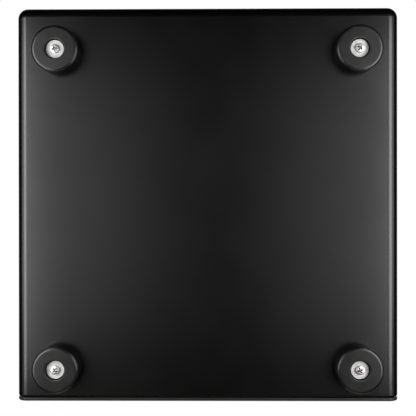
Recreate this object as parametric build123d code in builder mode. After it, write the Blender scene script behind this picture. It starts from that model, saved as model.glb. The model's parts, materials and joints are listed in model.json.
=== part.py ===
"""Bench counting scale: a moulded case on four screwed rubber feet, a single-point load cell
that carries a die-cast spider and a loose stainless pan, and a sloping console with a display
and eighteen moving keys.

Frame: +Z is up, -Y is the front where the operator stands, and the origin is on the bench,
under the centre of the case. Lengths are in millimetres.
"""

from build123d import *
from math import atan2, cos, degrees, radians, sin, tan
import os

# ---------------------------------------------------------------- driving dimensions
# case
body_width = 315.0
body_depth = 325.0
wall = 3.0
underside_radius = 8.0
rear_corner_radius = 8.5
front_edge_radius = 1.2
deck_height = 84.0
ledge_height = 4.0
console_angle = 22.0
console_margin = 6.2
console_gap = 5.0
console_side_margin = 12.5
top_edge_radius = 4.0
crease_radius = 12.0

# feet
foot_height = 18.0
foot_diameter = 38.0
foot_side_inset = 34.5
foot_front_inset = 28.5
foot_rear_inset = 37.0
foot_edge_radius = 2.6
foot_recess_diameter = 16.2
foot_washer_diameter = 15.0
foot_washer_thickness = 1.5
foot_recess_depth = 5.3
foot_screw_diameter = 4.0
foot_screw_head_diameter = 7.2
foot_screw_head_height = 2.2
foot_screw_grip = 12.0
screw_clearance = 0.3

# front fascia
fascia_thickness = 2.8
fascia_groove = 0.8
cover_setback = 0.5

# floor of the base
rib_height = 4.0
rib_thickness = 1.8
boss_height = 9.0
boss_diameter = 14.0
pillar_diameter = 12.0

# case seal
seal_width = 1.6
seal_thickness = 1.0

# load cell and its bracket
cell_length = 130.0
cell_width = 30.0
cell_height = 22.0
cell_bore_diameter = 14.0
cell_bore_spacing = 24.0
cell_bolt_diameter = 6.0
cell_bolt_inset = 9.0
cell_bolt_pitch = 15.0
cell_spacer_thickness = 4.0
cell_spacer_length = 36.0
bracket_thickness = 3.0
bracket_length = 44.0
bracket_web_height = 13.0
bracket_web_spacing = 40.0
bracket_flange = 13.0
bracket_boss_height = 6.0

# platform
spider_clearance = 3.0
spider_thickness = 6.0
spider_rib_height = 3.0
spider_arm_width = 22.0
spider_pad_diameter = 28.0
buffer_side_inset = 32.0
buffer_end_inset = 29.0
buffer_diameter = 22.0
buffer_height = 6.0
buffer_stem_diameter = 8.0
pan_side_inset = 7.5
pan_front_gap = 8.0
pan_thickness = 1.2
pan_skirt = 12.0
pan_corner_radius = 12.0
pan_bend_radius = 3.0
pan_rear_inset = 4.5
stop_setback = 28.0
stop_gap = 0.7
stop_screw_diameter = 6.0

# console
key_travel = 1.2
key_stand = 2.6
key_gap = 0.45
digit_key_width = 18.4
digit_key_pitch = 22.0
digit_key_first = 16.0
digit_columns = 4
function_key_width = 31.0
function_key_pitch = 36.0
function_key_first = -56.0
function_columns = 2
key_depth = 11.6
key_row_pitch = 15.0
key_lip = 1.2
bezel_depth = 48.0
bezel_thickness = 2.0
lens_depth = 36.0
lens_thickness = 2.0
lens_border = 13.0
window_depth = 24.0
window_gap = 14.0
window_count = 3
panel_gap = 0.2
board_thickness = 1.6
mat_thickness = 1.0
mat_ring_height = 2.4
display_thickness = 5.0
vial_gap = 18.0
vial_diameter = 16.0

# rear connector bay
bay_width = 136.0
bay_lift = 5.0
bay_height = 28.0
bay_depth = 6.3
panel_thickness = 1.2
inlet_position = 38.0
rocker_position = -4.0
serial_position = -42.0

# ---------------------------------------------------------------- places worked out from them
y_front = -body_depth / 2
y_rear = body_depth / 2
underside = foot_height
floor_top = underside + wall
half_width = body_width / 2

fascia_back = y_front + fascia_thickness
base_front = fascia_back + fascia_groove
base_depth = y_rear - base_front
base_middle = (y_rear + base_front) / 2
cover_front = y_front + cover_setback

foot_spacing_x = body_width - 2 * foot_side_inset
foot_places = [
    (side * foot_spacing_x / 2, y)
    for y in (y_front + foot_front_inset, y_rear - foot_rear_inset)
    for side in (-1, 1)
]

# The console slopes down from the deck to the front wall, and is as long as what it carries.
slope = radians(console_angle)
console_length = 2 * console_margin + bezel_depth + console_gap + lens_depth
console_run = console_length * cos(slope)
console_back = cover_front + console_run
console_front_height = deck_height - console_length * sin(slope)
split_height = console_front_height - ledge_height
bezel_centre = -console_length / 2 + console_margin + bezel_depth / 2
lens_centre = console_length / 2 - console_margin - lens_depth / 2
bezel_width = body_width - 2 * console_side_margin
lens_width = bezel_width
window_pitch = (lens_width - 2 * lens_border) / window_count
window_width = window_pitch - window_gap
console = Plane(
    origin=(
        0,
        cover_front + console_run / 2,
        (console_front_height + deck_height) / 2,
    ),
    x_dir=(1, 0, 0),
    z_dir=(0, -sin(slope), cos(slope)),
)

# The platform fills the deck behind the console.
pan_width = body_width - 2 * pan_side_inset
pan_depth = y_rear - pan_rear_inset - console_back - pan_front_gap
platform_y = y_rear - pan_rear_inset - pan_depth / 2
buffer_spacing_x = pan_width - 2 * buffer_side_inset
buffer_spacing_y = pan_depth - 2 * buffer_end_inset

# The overload stops stand under the arms of the spider, a little inside its pads.
arm_angle = atan2(buffer_spacing_y, buffer_spacing_x)
arm_length = buffer_spacing_x / 2 / cos(arm_angle)
stop_spacing_x = 2 * (arm_length - stop_setback) * cos(arm_angle)
stop_spacing_y = 2 * (arm_length - stop_setback) * sin(arm_angle)

pan_top = (
    deck_height
    + spider_clearance
    + spider_thickness
    + buffer_height
    + pan_thickness
)
spider_bottom = deck_height + spider_clearance
spider_top = spider_bottom + spider_thickness

bracket_bottom = floor_top + bracket_boss_height
bracket_top = bracket_bottom + bracket_web_height
cell_bottom = bracket_top + cell_spacer_thickness
cell_top = cell_bottom + cell_height
cell_end = cell_length / 2 - cell_spacer_length / 2
rail_top = floor_top + rib_height


def save(builder, label):
    """Labels a finished piece and writes it under that name."""
    builder.part.label = label
    export_step(builder.part, f"parts/{label}.step")


def grid(centre, spacing_x, spacing_y):
    """Four places at the corners of a rectangle."""
    return [
        (centre[0] + i * spacing_x / 2, centre[1] + j * spacing_y / 2)
        for j in (-1, 1)
        for i in (-1, 1)
    ]


def at(places, z):
    """Plan places lifted to one height."""
    return [(x, y, z) for x, y in places]


UP = (Align.CENTER, Align.CENTER, Align.MIN)
DOWN = (Align.CENTER, Align.CENTER, Align.MAX)


def facing(places, direction):
    """Planes on the given seats, with their normals along one direction."""
    return [Plane(origin=place, z_dir=direction) for place in places]


def add_screws(seats, diameter, length, head_diameter, head_height):
    """Screws whose heads stand on their seats, with the shanks running in."""
    with Locations(*seats):
        Cylinder(diameter / 2, length, align=DOWN)
        Cylinder(head_diameter / 2, head_height, align=UP)


os.makedirs("parts", exist_ok=True)

# ================================================================ base shell
boss_top = floor_top + boss_height
stop_places = grid((0, platform_y), stop_spacing_x, stop_spacing_y)

bracket_centre = (-cell_end, platform_y)
bracket_screw_diameter = 4.0
bracket_head_diameter = 8.0
bracket_screw_inset = 8.0
bracket_screw_places = grid(
    bracket_centre,
    bracket_web_spacing + 2 * bracket_thickness + bracket_head_diameter + 2 * screw_clearance,
    bracket_length - 2 * bracket_screw_inset,
)

small_screw_diameter = 3.0
small_screw_length = 4.8
small_head_diameter = 5.6
small_head_height = 1.8
board_post_height = 8.0
board_post_diameter = 7.0
main_board_width = 150.0
main_board_depth = 60.0
main_board_margin = 6.0
main_board_rear_gap = 11.5
main_board_centre = (0, y_rear - wall - main_board_rear_gap - main_board_depth / 2)
main_board_places = grid(
    main_board_centre,
    main_board_width - 2 * main_board_margin,
    main_board_depth - 2 * main_board_margin,
)
main_board_bottom = floor_top + board_post_height

battery_width = 101.0
battery_depth = 70.0
battery_height = 47.0
battery_clearance = 1.5
strap_width = 16.0
strap_thickness = 1.0
strap_tab = 10.0
battery_left = battery_clearance + pillar_diameter / 2 - stop_spacing_x / 2
battery_rear = platform_y - bracket_length / 2 - battery_clearance - strap_tab
battery_centre = (battery_left + battery_width / 2, battery_rear - battery_depth / 2)
strap_places = [
    (battery_centre[0], battery_centre[1] + side * (battery_depth + strap_tab) / 2)
    for side in (-1, 1)
]

transformer_width = 48.0
transformer_height = 40.0
transformer_core = 18.0
transformer_tab_span = 60.0
tab_width = 12.0
coil_width = 30.0
coil_depth = 34.0
coil_height = 26.0
transformer_gap = 4.0
transformer_centre = (
    battery_left + battery_width + transformer_gap + coil_depth / 2,
    battery_centre[1],
)
transformer_places = [
    (transformer_centre[0], transformer_centre[1] + side * transformer_tab_span / 2)
    for side in (-1, 1)
]
small_boss_diameter = 9.0
rib_columns = 7
rib_rows = 6

fascia_gap = 0.3
fascia_boss_diameter = 8.0
fascia_screw_reach = small_screw_length - wall
fascia_screw_lift = 12.0
fascia_screw_height = underside + fascia_screw_lift
fascia_screw_inset = 43.5
fascia_screw_count = 4
fascia_screw_spacing = (body_width - 2 * fascia_screw_inset) / (fascia_screw_count - 1)
fascia_screw_columns = [
    (i - (fascia_screw_count - 1) / 2) * fascia_screw_spacing for i in range(fascia_screw_count)
]
fascia_screw_places = [
    (x, base_front + wall, fascia_screw_height) for x in fascia_screw_columns
]


def base_outline(inset):
    """Plan of the case bottom, at a distance inside its outer wall."""
    with BuildSketch() as outline:
        with Locations((0, base_middle)):
            Rectangle(body_width - 2 * inset, base_depth - 2 * inset)
        fillet(outline.vertices().group_by(Axis.Y)[-1], rear_corner_radius - inset)
    return outline.sketch


with BuildPart() as base_shell:
    with BuildSketch(Plane.XY.offset(underside)):
        add(base_outline(0))
    extrude(amount=split_height - underside)
    rim = base_shell.faces().sort_by(Axis.Z)[0].edges()
    fillet(rim.filter_by(lambda e: e.center().Y > base_front + 1), underside_radius)
    offset(amount=-wall, openings=base_shell.faces().sort_by(Axis.Z)[-1])
    front_rim = base_shell.faces().sort_by(Axis.Y)[0].edges()
    fillet(front_rim.sort_by(Axis.Z)[:-1], front_edge_radius)
    # stiffening ribs, with a well among them for the battery
    with BuildSketch(Plane.XY.offset(floor_top)):
        with Locations((0, base_middle)):
            with GridLocations((body_width - 2 * wall) / rib_columns, 0, rib_columns - 1, 1):
                Rectangle(rib_thickness, base_depth - 2 * wall)
            with GridLocations(0, (base_depth - 2 * wall) / rib_rows, 1, rib_rows - 1):
                Rectangle(body_width - 2 * wall, rib_thickness)
        with Locations(battery_centre):
            Rectangle(battery_width + 2 * battery_clearance, battery_depth + 2 * battery_clearance,
                      mode=Mode.SUBTRACT)
    extrude(amount=rib_height)
    # bosses
    with Locations(at(foot_places, floor_top)):
        Cylinder(boss_diameter / 2, boss_height, align=UP)
    with Locations(at(stop_places, floor_top)):
        Cylinder(boss_diameter / 2, rib_height, align=UP)
    with Locations(at(bracket_screw_places, floor_top)):
        Cylinder(small_boss_diameter / 2, bracket_boss_height, align=UP)
    with Locations(at(main_board_places, floor_top)):
        Cylinder(board_post_diameter / 2, board_post_height, align=UP)
    with Locations(at(strap_places + transformer_places, floor_top)):
        Cylinder(small_boss_diameter / 2, rib_height, align=UP)
    # screw holes
    with Locations(at(foot_places, underside)):
        Cylinder(foot_screw_diameter / 2 + screw_clearance, wall + boss_height, align=UP,
                 mode=Mode.SUBTRACT)
    with Locations(at(bracket_screw_places, bracket_bottom)):
        Cylinder(bracket_screw_diameter / 2, bracket_boss_height, align=DOWN,
                 mode=Mode.SUBTRACT)
    with Locations(at(main_board_places, main_board_bottom)):
        Cylinder(small_screw_diameter / 2, board_post_height, align=DOWN,
                 mode=Mode.SUBTRACT)
    with Locations(at(strap_places + transformer_places, rail_top)):
        Cylinder(small_screw_diameter / 2, rib_height, align=DOWN, mode=Mode.SUBTRACT)
    with Locations(*facing(fascia_screw_places, (0, -1, 0))):
        Cylinder(small_screw_diameter / 2 + screw_clearance, wall, align=UP, mode=Mode.SUBTRACT)
    # groove for the case seal
    with BuildSketch(Plane.XY.offset(split_height)):
        add(base_outline((wall - seal_width) / 2))
        add(base_outline((wall + seal_width) / 2), mode=Mode.SUBTRACT)
    extrude(amount=-seal_thickness, mode=Mode.SUBTRACT)
save(base_shell, "base_shell")

# ================================================================ case seal
with BuildPart() as housing_seal:
    with BuildSketch(Plane.XY.offset(split_height)):
        add(base_outline((wall - seal_width) / 2))
        add(base_outline((wall + seal_width) / 2), mode=Mode.SUBTRACT)
    extrude(amount=-seal_thickness)
save(housing_seal, "housing_seal")

# ================================================================ rubber feet and their screws
foot_bore_diameter = foot_screw_diameter + 2 * screw_clearance
foot_head_seat = foot_recess_depth - foot_washer_thickness

with BuildPart() as rubber_feet:
    with Locations(at(foot_places, 0)):
        Cylinder(foot_diameter / 2, foot_height, align=UP)
    lower_rims = rubber_feet.edges().group_by(Axis.Z)[0]
    fillet(lower_rims, foot_edge_radius)
    with Locations(at(foot_places, 0)):
        Cylinder(foot_recess_diameter / 2, foot_recess_depth, align=UP, mode=Mode.SUBTRACT)
        Cylinder(foot_bore_diameter / 2, foot_height, align=UP, mode=Mode.SUBTRACT)
save(rubber_feet, "rubber_feet")

with BuildPart() as foot_washers:
    with Locations(at(foot_places, foot_recess_depth)):
        Cylinder(foot_washer_diameter / 2, foot_washer_thickness, align=DOWN)
        Cylinder(foot_bore_diameter / 2, foot_washer_thickness, align=DOWN, mode=Mode.SUBTRACT)
save(foot_washers, "foot_washers")


with BuildPart() as foot_screws:
    add_screws(
        facing(at(foot_places, foot_head_seat), (0, 0, -1)),
        foot_screw_diameter,
        boss_top + foot_screw_grip - foot_head_seat,
        foot_screw_head_diameter,
        foot_screw_head_height,
    )
save(foot_screws, "foot_screws")

# ================================================================ top cover
upright = 0.01
split_relief = 0.5
cover_front_radius = 3.5
collar_height = 2.2
collar_wall = 2.0
opening_clearance = 4.0
head_spacer_centre = (cell_end, platform_y)
opening_width = cell_spacer_length + 2 * opening_clearance
opening_depth = cell_width + 2 * opening_clearance
stop_pillar_bottom = rail_top

key_columns = [
    (function_key_first + i * function_key_pitch, function_key_width)
    for i in range(function_columns)
] + [
    (digit_key_first + i * digit_key_pitch, digit_key_width)
    for i in range(digit_columns)
]
key_rows = [bezel_centre + i * key_row_pitch for i in (1, 0, -1)]
key_wall = 1.2
recess_radius = 1.2
key_margin = 2 * (key_lip + key_gap)
window_places = [
    ((i - (window_count - 1) / 2) * window_pitch, lens_centre) for i in range(window_count)
]

console_post_diameter = 6.0
mat_top = mat_ring_height + bezel_thickness + key_wall + key_travel + panel_gap
key_board_top = mat_top + mat_thickness
display_board_top = wall + panel_gap + display_thickness
key_block_left = key_columns[0][0] - function_key_width / 2
key_block_right = key_columns[-1][0] + digit_key_width / 2
key_block_centre = (key_block_left + key_block_right) / 2
key_block_width = key_block_right - key_block_left
vial_position = key_block_left - vial_gap
key_board_margin = 9.0
key_board_width = key_block_width + 2 * key_board_margin
key_board_inset = 2.0
key_board_depth = bezel_depth - 2 * key_board_inset
console_post_inset = 3.5
display_board_inset = 5.0
display_board_width = lens_width - 2 * display_board_inset
display_board_depth = lens_depth - 2 * panel_gap - key_wall
key_post_places = grid(
    (key_block_centre, bezel_centre),
    key_board_width - 2 * console_post_inset,
    key_board_depth - 2 * console_post_inset,
)
display_post_places = grid(
    (0, lens_centre),
    display_board_width - 2 * console_post_inset,
    display_board_depth - 2 * console_post_inset,
)

bay_bottom = split_height + bay_lift
bay_middle = bay_bottom + bay_height / 2
bay_frame = 2.5
panel_face = y_rear - bay_depth
panel_back = panel_face - panel_thickness
panel_overlap = 10.0
rear_post_diameter = 8.0
rear_post_inset = 5.0
rear_post_lift = 9.5
rear_screw_places = [
    (side * (bay_width / 2 + rear_post_inset), panel_face, bay_middle + lift * rear_post_lift)
    for lift in (-1, 1)
    for side in (-1, 1)
]


def side_profile(inset, bottom):
    """Side view of the cover, at a distance inside its outer wall."""
    drop = inset / cos(slope)
    with BuildSketch() as profile:
        with BuildLine():
            Polyline(
                (cover_front + inset, bottom),
                (cover_front + inset, console_front_height - drop + inset * tan(slope)),
                (console_back + (drop - inset) / tan(slope), deck_height - inset),
                (y_rear - inset, deck_height - inset),
                (y_rear - inset, bottom),
                close=True,
            )
        make_face()
    return profile.sketch


def pillars(places, bottom):
    """Screw pillars that run up into the cover, cut to its slope and deck."""
    with BuildPart() as group:
        with BuildSketch(Plane.YZ.offset(-half_width)):
            add(side_profile(wall / 2, bottom))
        extrude(amount=body_width)
        with BuildSketch(Plane.XY.offset(bottom)):
            with Locations(*places):
                Circle(pillar_diameter / 2)
        extrude(amount=deck_height - bottom, mode=Mode.INTERSECT)
    return group.part


foot_pillars = pillars(foot_places, boss_top)
stop_pillars = pillars(stop_places, stop_pillar_bottom)

with BuildPart() as top_cover:
    with BuildSketch(Plane.YZ.offset(-half_width)):
        add(side_profile(0, split_height))
    extrude(amount=body_width)
    corners = top_cover.edges().filter_by(Axis.Z).group_by(Axis.Y)
    fillet(corners[-1], rear_corner_radius)
    fillet(corners[0], cover_front_radius)
    crease = top_cover.edges().filter_by(Axis.X).group_by(Axis.Z)[-1].sort_by(Axis.Y)[0]
    fillet(crease, crease_radius)
    side_walls = top_cover.faces().filter_by(lambda f: abs(f.normal_at().Z) < upright)
    rim = side_walls.edges().filter_by(lambda e: e.center().Z > split_height + ledge_height / 2)
    rim = rim.filter_by(Axis.Z, reverse=True)
    fillet(rim, top_edge_radius)
    lower = top_cover.faces().sort_by(Axis.Z)[0]
    offset(amount=-wall, openings=lower)
    # shadow line above the joint with the base
    skirt = top_cover.faces().sort_by(Axis.Z)[0].outer_wire().edges()
    chamfer(skirt, split_relief)
    # front ledge that seats on the base and its seal
    with BuildSketch(Plane.XY.offset(split_height)):
        with Locations((0, base_front)):
            Rectangle(body_width - 2 * wall, wall, align=(Align.CENTER, Align.MIN))
    extrude(amount=ledge_height)
    add(foot_pillars)
    add(stop_pillars)
    # deck opening for the head of the load cell, with a collar against spills
    with BuildSketch(Plane.XY.offset(deck_height - wall)):
        with Locations(head_spacer_centre):
            RectangleRounded(
                opening_width + 2 * collar_wall, opening_depth + 2 * collar_wall, 2 * collar_wall
            )
    extrude(amount=wall + collar_height)
    with BuildSketch(Plane.XY.offset(deck_height - wall)):
        with Locations(head_spacer_centre):
            RectangleRounded(opening_width, opening_depth, collar_wall)
    extrude(amount=wall + collar_height, mode=Mode.SUBTRACT)
    # recess of the keypad bezel, with an aperture under each block of keys
    with BuildSketch(console):
        with Locations((0, bezel_centre)):
            RectangleRounded(bezel_width + 2 * panel_gap, bezel_depth + 2 * panel_gap, recess_radius)
    extrude(amount=-bezel_thickness, mode=Mode.SUBTRACT)
    with BuildSketch(console):
        for block in (key_columns[:function_columns], key_columns[function_columns:]):
            left = block[0][0] - block[0][1] / 2
            right = block[-1][0] + block[-1][1] / 2
            with Locations(((left + right) / 2, bezel_centre)):
                Rectangle(right - left + key_margin, 2 * key_row_pitch + key_depth + key_margin)
        with Locations((vial_position, bezel_centre)):
            Circle(vial_diameter / 2 + panel_gap)
    extrude(amount=-wall, mode=Mode.SUBTRACT)
    # recess of the display lens, with its three windows
    with BuildSketch(console):
        with Locations((0, lens_centre)):
            RectangleRounded(lens_width + 2 * panel_gap, lens_depth + 2 * panel_gap, recess_radius)
    extrude(amount=-lens_thickness, mode=Mode.SUBTRACT)
    with BuildSketch(console):
        with Locations(*window_places):
            Rectangle(window_width, window_depth)
    extrude(amount=-wall, mode=Mode.SUBTRACT)
    # posts of the key board and of the display board
    with BuildSketch(console.offset(-key_board_top)):
        with Locations(*key_post_places):
            Circle(console_post_diameter / 2)
    extrude(amount=key_board_top - wall)
    with BuildSketch(console.offset(-display_board_top)):
        with Locations(*display_post_places):
            Circle(console_post_diameter / 2)
    extrude(amount=display_board_top - wall)
    # connector bay in the rear wall
    with BuildSketch(Plane.XZ.offset(-panel_face)):
        with Locations((0, bay_middle)):
            RectangleRounded(bay_width + 2 * bay_frame, bay_height + 2 * bay_frame, 2 * bay_frame)
        with Locations(*[(x, z) for x, y, z in rear_screw_places]):
            Circle(rear_post_diameter / 2)
    extrude(amount=-(bay_depth - wall / 2))
    with BuildSketch(Plane.XZ.offset(-panel_face)):
        with Locations((0, bay_middle)):
            RectangleRounded(bay_width, bay_height, bay_frame)
    extrude(amount=-bay_depth, mode=Mode.SUBTRACT)
    # screw holes
    with Locations(at(foot_places, boss_top)):
        Cylinder(foot_screw_diameter / 2, foot_screw_grip, align=UP, mode=Mode.SUBTRACT)
    with Locations(at(stop_places, deck_height)):
        Cylinder(stop_screw_diameter / 2, foot_screw_grip, align=DOWN, mode=Mode.SUBTRACT)
    board_screw_reach = small_screw_length - board_thickness
    with Locations(console.offset(-key_board_top)):
        with Locations(*key_post_places):
            Cylinder(small_screw_diameter / 2, board_screw_reach, align=UP, mode=Mode.SUBTRACT)
    with Locations(console.offset(-display_board_top)):
        with Locations(*display_post_places):
            Cylinder(small_screw_diameter / 2, board_screw_reach, align=UP, mode=Mode.SUBTRACT)
    with Locations(*facing(rear_screw_places, (0, 1, 0))):
        Cylinder(small_screw_diameter / 2, small_screw_length - panel_thickness, align=UP,
                 mode=Mode.SUBTRACT)
save(top_cover, "top_cover")

# ================================================================ front fascia
with BuildPart() as front_fascia:
    with BuildSketch(Plane.XZ.offset(-fascia_back)):
        with Locations((0, underside)):
            Rectangle(body_width, split_height - fascia_gap - underside,
                      align=(Align.CENTER, Align.MIN))
    extrude(amount=fascia_thickness)
    lower_corners = front_fascia.edges().filter_by(Axis.Y).group_by(Axis.Z)[0]
    fillet(lower_corners, underside_radius)
    front_face = front_fascia.faces().sort_by(Axis.Y)[0]
    fillet(front_face.edges(), front_edge_radius)
    with BuildSketch(Plane.XZ.offset(-fascia_back)):
        with Locations(*[(x, fascia_screw_height) for x in fascia_screw_columns]):
            Circle(fascia_boss_diameter / 2)
    extrude(amount=-fascia_groove)
    with Locations(*facing([(x, base_front, z) for x, y, z in fascia_screw_places], (0, -1, 0))):
        Cylinder(small_screw_diameter / 2, fascia_screw_reach, align=UP, mode=Mode.SUBTRACT)
save(front_fascia, "front_fascia")

with BuildPart() as case_screws:
    add_screws(
        facing(fascia_screw_places, (0, 1, 0)),
        small_screw_diameter,
        small_screw_length,
        small_head_diameter,
        small_head_height,
    )
    add_screws(
        facing([(x, panel_back, z) for x, y, z in rear_screw_places], (0, -1, 0)),
        small_screw_diameter,
        small_screw_length,
        small_head_diameter,
        small_head_height,
    )
save(case_screws, "case_screws")

# ================================================================ load cell and its bracket
bracket_screw_length = 8.5
bracket_head_height = 2.6
cell_bolt_clearance = 0.3
cell_head_diameter = 10.0
cell_thread_depth = 14.0
cell_bolt_reach = 13.0
cell_cut_height = 4.0

base_spacer_end = -cell_length / 2
base_bolt_places = [
    (base_spacer_end + cell_bolt_inset + i * cell_bolt_pitch, platform_y) for i in range(2)
]
head_bolt_places = [(-x, y) for x, y in base_bolt_places]
base_spacer_centre = (-cell_end, platform_y)

# Hat section: a plate on two webs, with flanges that screw to the floor bosses.
with BuildPart() as cell_bracket:
    inner = bracket_web_spacing / 2
    outer = inner + bracket_thickness
    tip = inner + bracket_flange
    with BuildSketch(Plane.XZ.offset(-platform_y)):
        with BuildLine():
            right_half = Polyline(
                (bracket_centre[0], bracket_top),
                (bracket_centre[0] + outer, bracket_top),
                (bracket_centre[0] + outer, bracket_bottom + bracket_thickness),
                (bracket_centre[0] + tip, bracket_bottom + bracket_thickness),
                (bracket_centre[0] + tip, bracket_bottom),
                (bracket_centre[0] + inner, bracket_bottom),
                (bracket_centre[0] + inner, bracket_top - bracket_thickness),
                (bracket_centre[0], bracket_top - bracket_thickness),
            )
            mirror(right_half, about=Plane.YZ.offset(bracket_centre[0]))
        make_face()
    extrude(amount=bracket_length / 2, both=True)
    bends = cell_bracket.edges().filter_by(Axis.Y).group_by(Axis.Z)[-1]
    fillet(bends, bracket_thickness)
    with Locations(*at(bracket_screw_places, bracket_bottom)):
        Cylinder(bracket_screw_diameter / 2 + screw_clearance, bracket_thickness, align=UP,
                 mode=Mode.SUBTRACT)
    with Locations(*at(base_bolt_places, bracket_top)):
        Cylinder(cell_bolt_diameter / 2 + cell_bolt_clearance, bracket_thickness, align=DOWN,
                 mode=Mode.SUBTRACT)
save(cell_bracket, "cell_bracket")

with BuildPart() as bracket_screws:
    add_screws(
        facing(at(bracket_screw_places, bracket_bottom + bracket_thickness), (0, 0, 1)),
        bracket_screw_diameter,
        bracket_screw_length,
        bracket_head_diameter,
        bracket_head_height,
    )
save(bracket_screws, "bracket_screws")

with BuildPart() as cell_base_spacer:
    with BuildSketch(Plane.XY.offset(bracket_top)):
        with Locations(base_spacer_centre):
            Rectangle(cell_spacer_length, cell_width)
        with Locations(*base_bolt_places):
            Circle(cell_bolt_diameter / 2 + cell_bolt_clearance, mode=Mode.SUBTRACT)
    extrude(amount=cell_spacer_thickness)
save(cell_base_spacer, "cell_base_spacer")

with BuildPart() as load_cell:
    with BuildSketch(Plane.XZ.offset(-platform_y)):
        with Locations((0, (cell_bottom + cell_top) / 2)):
            Rectangle(cell_length, cell_height)
            with GridLocations(cell_bore_spacing, 0, 2, 1):
                Circle(cell_bore_diameter / 2, mode=Mode.SUBTRACT)
            Rectangle(cell_bore_spacing, cell_cut_height, mode=Mode.SUBTRACT)
    extrude(amount=cell_width / 2, both=True)
    with Locations(*at(base_bolt_places, cell_bottom)):
        Cylinder(cell_bolt_diameter / 2, cell_thread_depth, align=UP, mode=Mode.SUBTRACT)
    with Locations(*at(head_bolt_places, cell_top)):
        Cylinder(cell_bolt_diameter / 2, cell_thread_depth, align=DOWN, mode=Mode.SUBTRACT)
save(load_cell, "load_cell")

base_bolt_head = 6.0
with BuildPart() as cell_base_bolts:
    add_screws(
        facing(at(base_bolt_places, bracket_top - bracket_thickness), (0, 0, -1)),
        cell_bolt_diameter,
        cell_bottom - bracket_top + bracket_thickness + cell_bolt_reach,
        cell_head_diameter,
        base_bolt_head,
    )
save(cell_base_bolts, "cell_base_bolts")

with BuildPart() as cell_head_spacer:
    with BuildSketch(Plane.XY.offset(cell_top)):
        with Locations(head_spacer_centre):
            Rectangle(cell_spacer_length, cell_width)
        with Locations(*head_bolt_places):
            Circle(cell_bolt_diameter / 2 + cell_bolt_clearance, mode=Mode.SUBTRACT)
    extrude(amount=spider_bottom - cell_top)
save(cell_head_spacer, "cell_head_spacer")

head_bolt_head = 4.0
with BuildPart() as cell_head_bolts:
    add_screws(
        facing(at(head_bolt_places, spider_top), (0, 0, 1)),
        cell_bolt_diameter,
        spider_top - cell_top + cell_bolt_reach,
        cell_head_diameter,
        head_bolt_head,
    )
save(cell_head_bolts, "cell_head_bolts")

# ================================================================ spider, buffers, pan and stops
buffer_places = grid((0, platform_y), buffer_spacing_x, buffer_spacing_y)
buffer_edge_radius = 1.0
spider_hub_left = -cell_end / 2
spider_hub_margin = 6.0
spider_hub_right = cell_end + cell_spacer_length / 2 + spider_hub_margin
spider_hub_depth = 52.0
spider_web = 3.0
spider_hole_diameter = 20.0
spider_boss_width = cell_bolt_pitch + cell_head_diameter + spider_hub_margin
hub_centre = ((spider_hub_left + spider_hub_right) / 2, platform_y)
hub_width = spider_hub_right - spider_hub_left


def spider_outline(inset):
    """Plan of the spider: a hub with four arms that run out to the pads."""
    with BuildSketch() as outline:
        with Locations(hub_centre):
            Rectangle(hub_width - 2 * inset, spider_hub_depth - 2 * inset)
        with Locations((0, platform_y)):
            for turn in (degrees(arm_angle), -degrees(arm_angle)):
                Rectangle(2 * arm_length, spider_arm_width - 2 * inset, rotation=turn)
        with Locations(*buffer_places):
            Circle(spider_pad_diameter / 2 - inset)
    return outline.sketch


with BuildPart() as spider:
    with BuildSketch(Plane.XY.offset(spider_bottom)):
        add(spider_outline(0))
    extrude(amount=spider_thickness)
    # channels between the edge ribs, with solid metal left at the bolts and pads
    with BuildSketch(Plane.XY.offset(spider_top)):
        add(spider_outline(spider_web))
        with Locations(*buffer_places):
            Circle(spider_pad_diameter / 2, mode=Mode.SUBTRACT)
        with Locations(head_spacer_centre):
            Rectangle(spider_boss_width, cell_width, mode=Mode.SUBTRACT)
        with Locations((0, platform_y)):
            Circle(spider_hole_diameter / 2 + spider_web, mode=Mode.SUBTRACT)
    extrude(amount=-spider_rib_height, mode=Mode.SUBTRACT)
    with Locations((0, platform_y, spider_bottom)):
        Cylinder(spider_hole_diameter / 2, spider_thickness, align=UP, mode=Mode.SUBTRACT)
    with Locations(*at(buffer_places, spider_bottom)):
        Cylinder(buffer_stem_diameter / 2, spider_thickness, align=UP, mode=Mode.SUBTRACT)
    with Locations(*at(head_bolt_places, spider_bottom)):
        Cylinder(cell_bolt_diameter / 2 + cell_bolt_clearance, spider_thickness, align=UP,
                 mode=Mode.SUBTRACT)
save(spider, "spider")

with BuildPart() as pan_buffers:
    with Locations(*at(buffer_places, spider_top)):
        Cylinder(buffer_diameter / 2, buffer_height, align=UP)
    fillet(pan_buffers.edges().group_by(Axis.Z)[-1], buffer_edge_radius)
    with Locations(*at(buffer_places, spider_top)):
        Cylinder(buffer_stem_diameter / 2, spider_thickness, align=DOWN)
save(pan_buffers, "pan_buffers")

with BuildPart() as weighing_pan:
    with BuildSketch(Plane.XY.offset(pan_top)):
        with Locations((0, platform_y)):
            RectangleRounded(pan_width, pan_depth, pan_corner_radius)
    extrude(amount=-pan_skirt)
    fillet(weighing_pan.edges().group_by(Axis.Z)[-1], pan_bend_radius)
    offset(amount=-pan_thickness, openings=weighing_pan.faces().sort_by(Axis.Z)[0])
save(weighing_pan, "weighing_pan")

stop_head_diameter = 12.0
with BuildPart() as overload_stops:
    add_screws(
        facing(at(stop_places, deck_height), (0, 0, 1)),
        stop_screw_diameter,
        foot_screw_grip,
        stop_head_diameter,
        spider_clearance - stop_gap,
    )
save(overload_stops, "overload_stops")

# ================================================================ keypad
cap_radius = 1.6
cap_taper = 3.0
cap_chamfer = 0.5
key_side_wall = 1.8
stem_diameter = 4.0
stem_clearance = 0.5
mat_ring_wall = 1.5
bezel_lip_gap = 0.05

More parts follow.
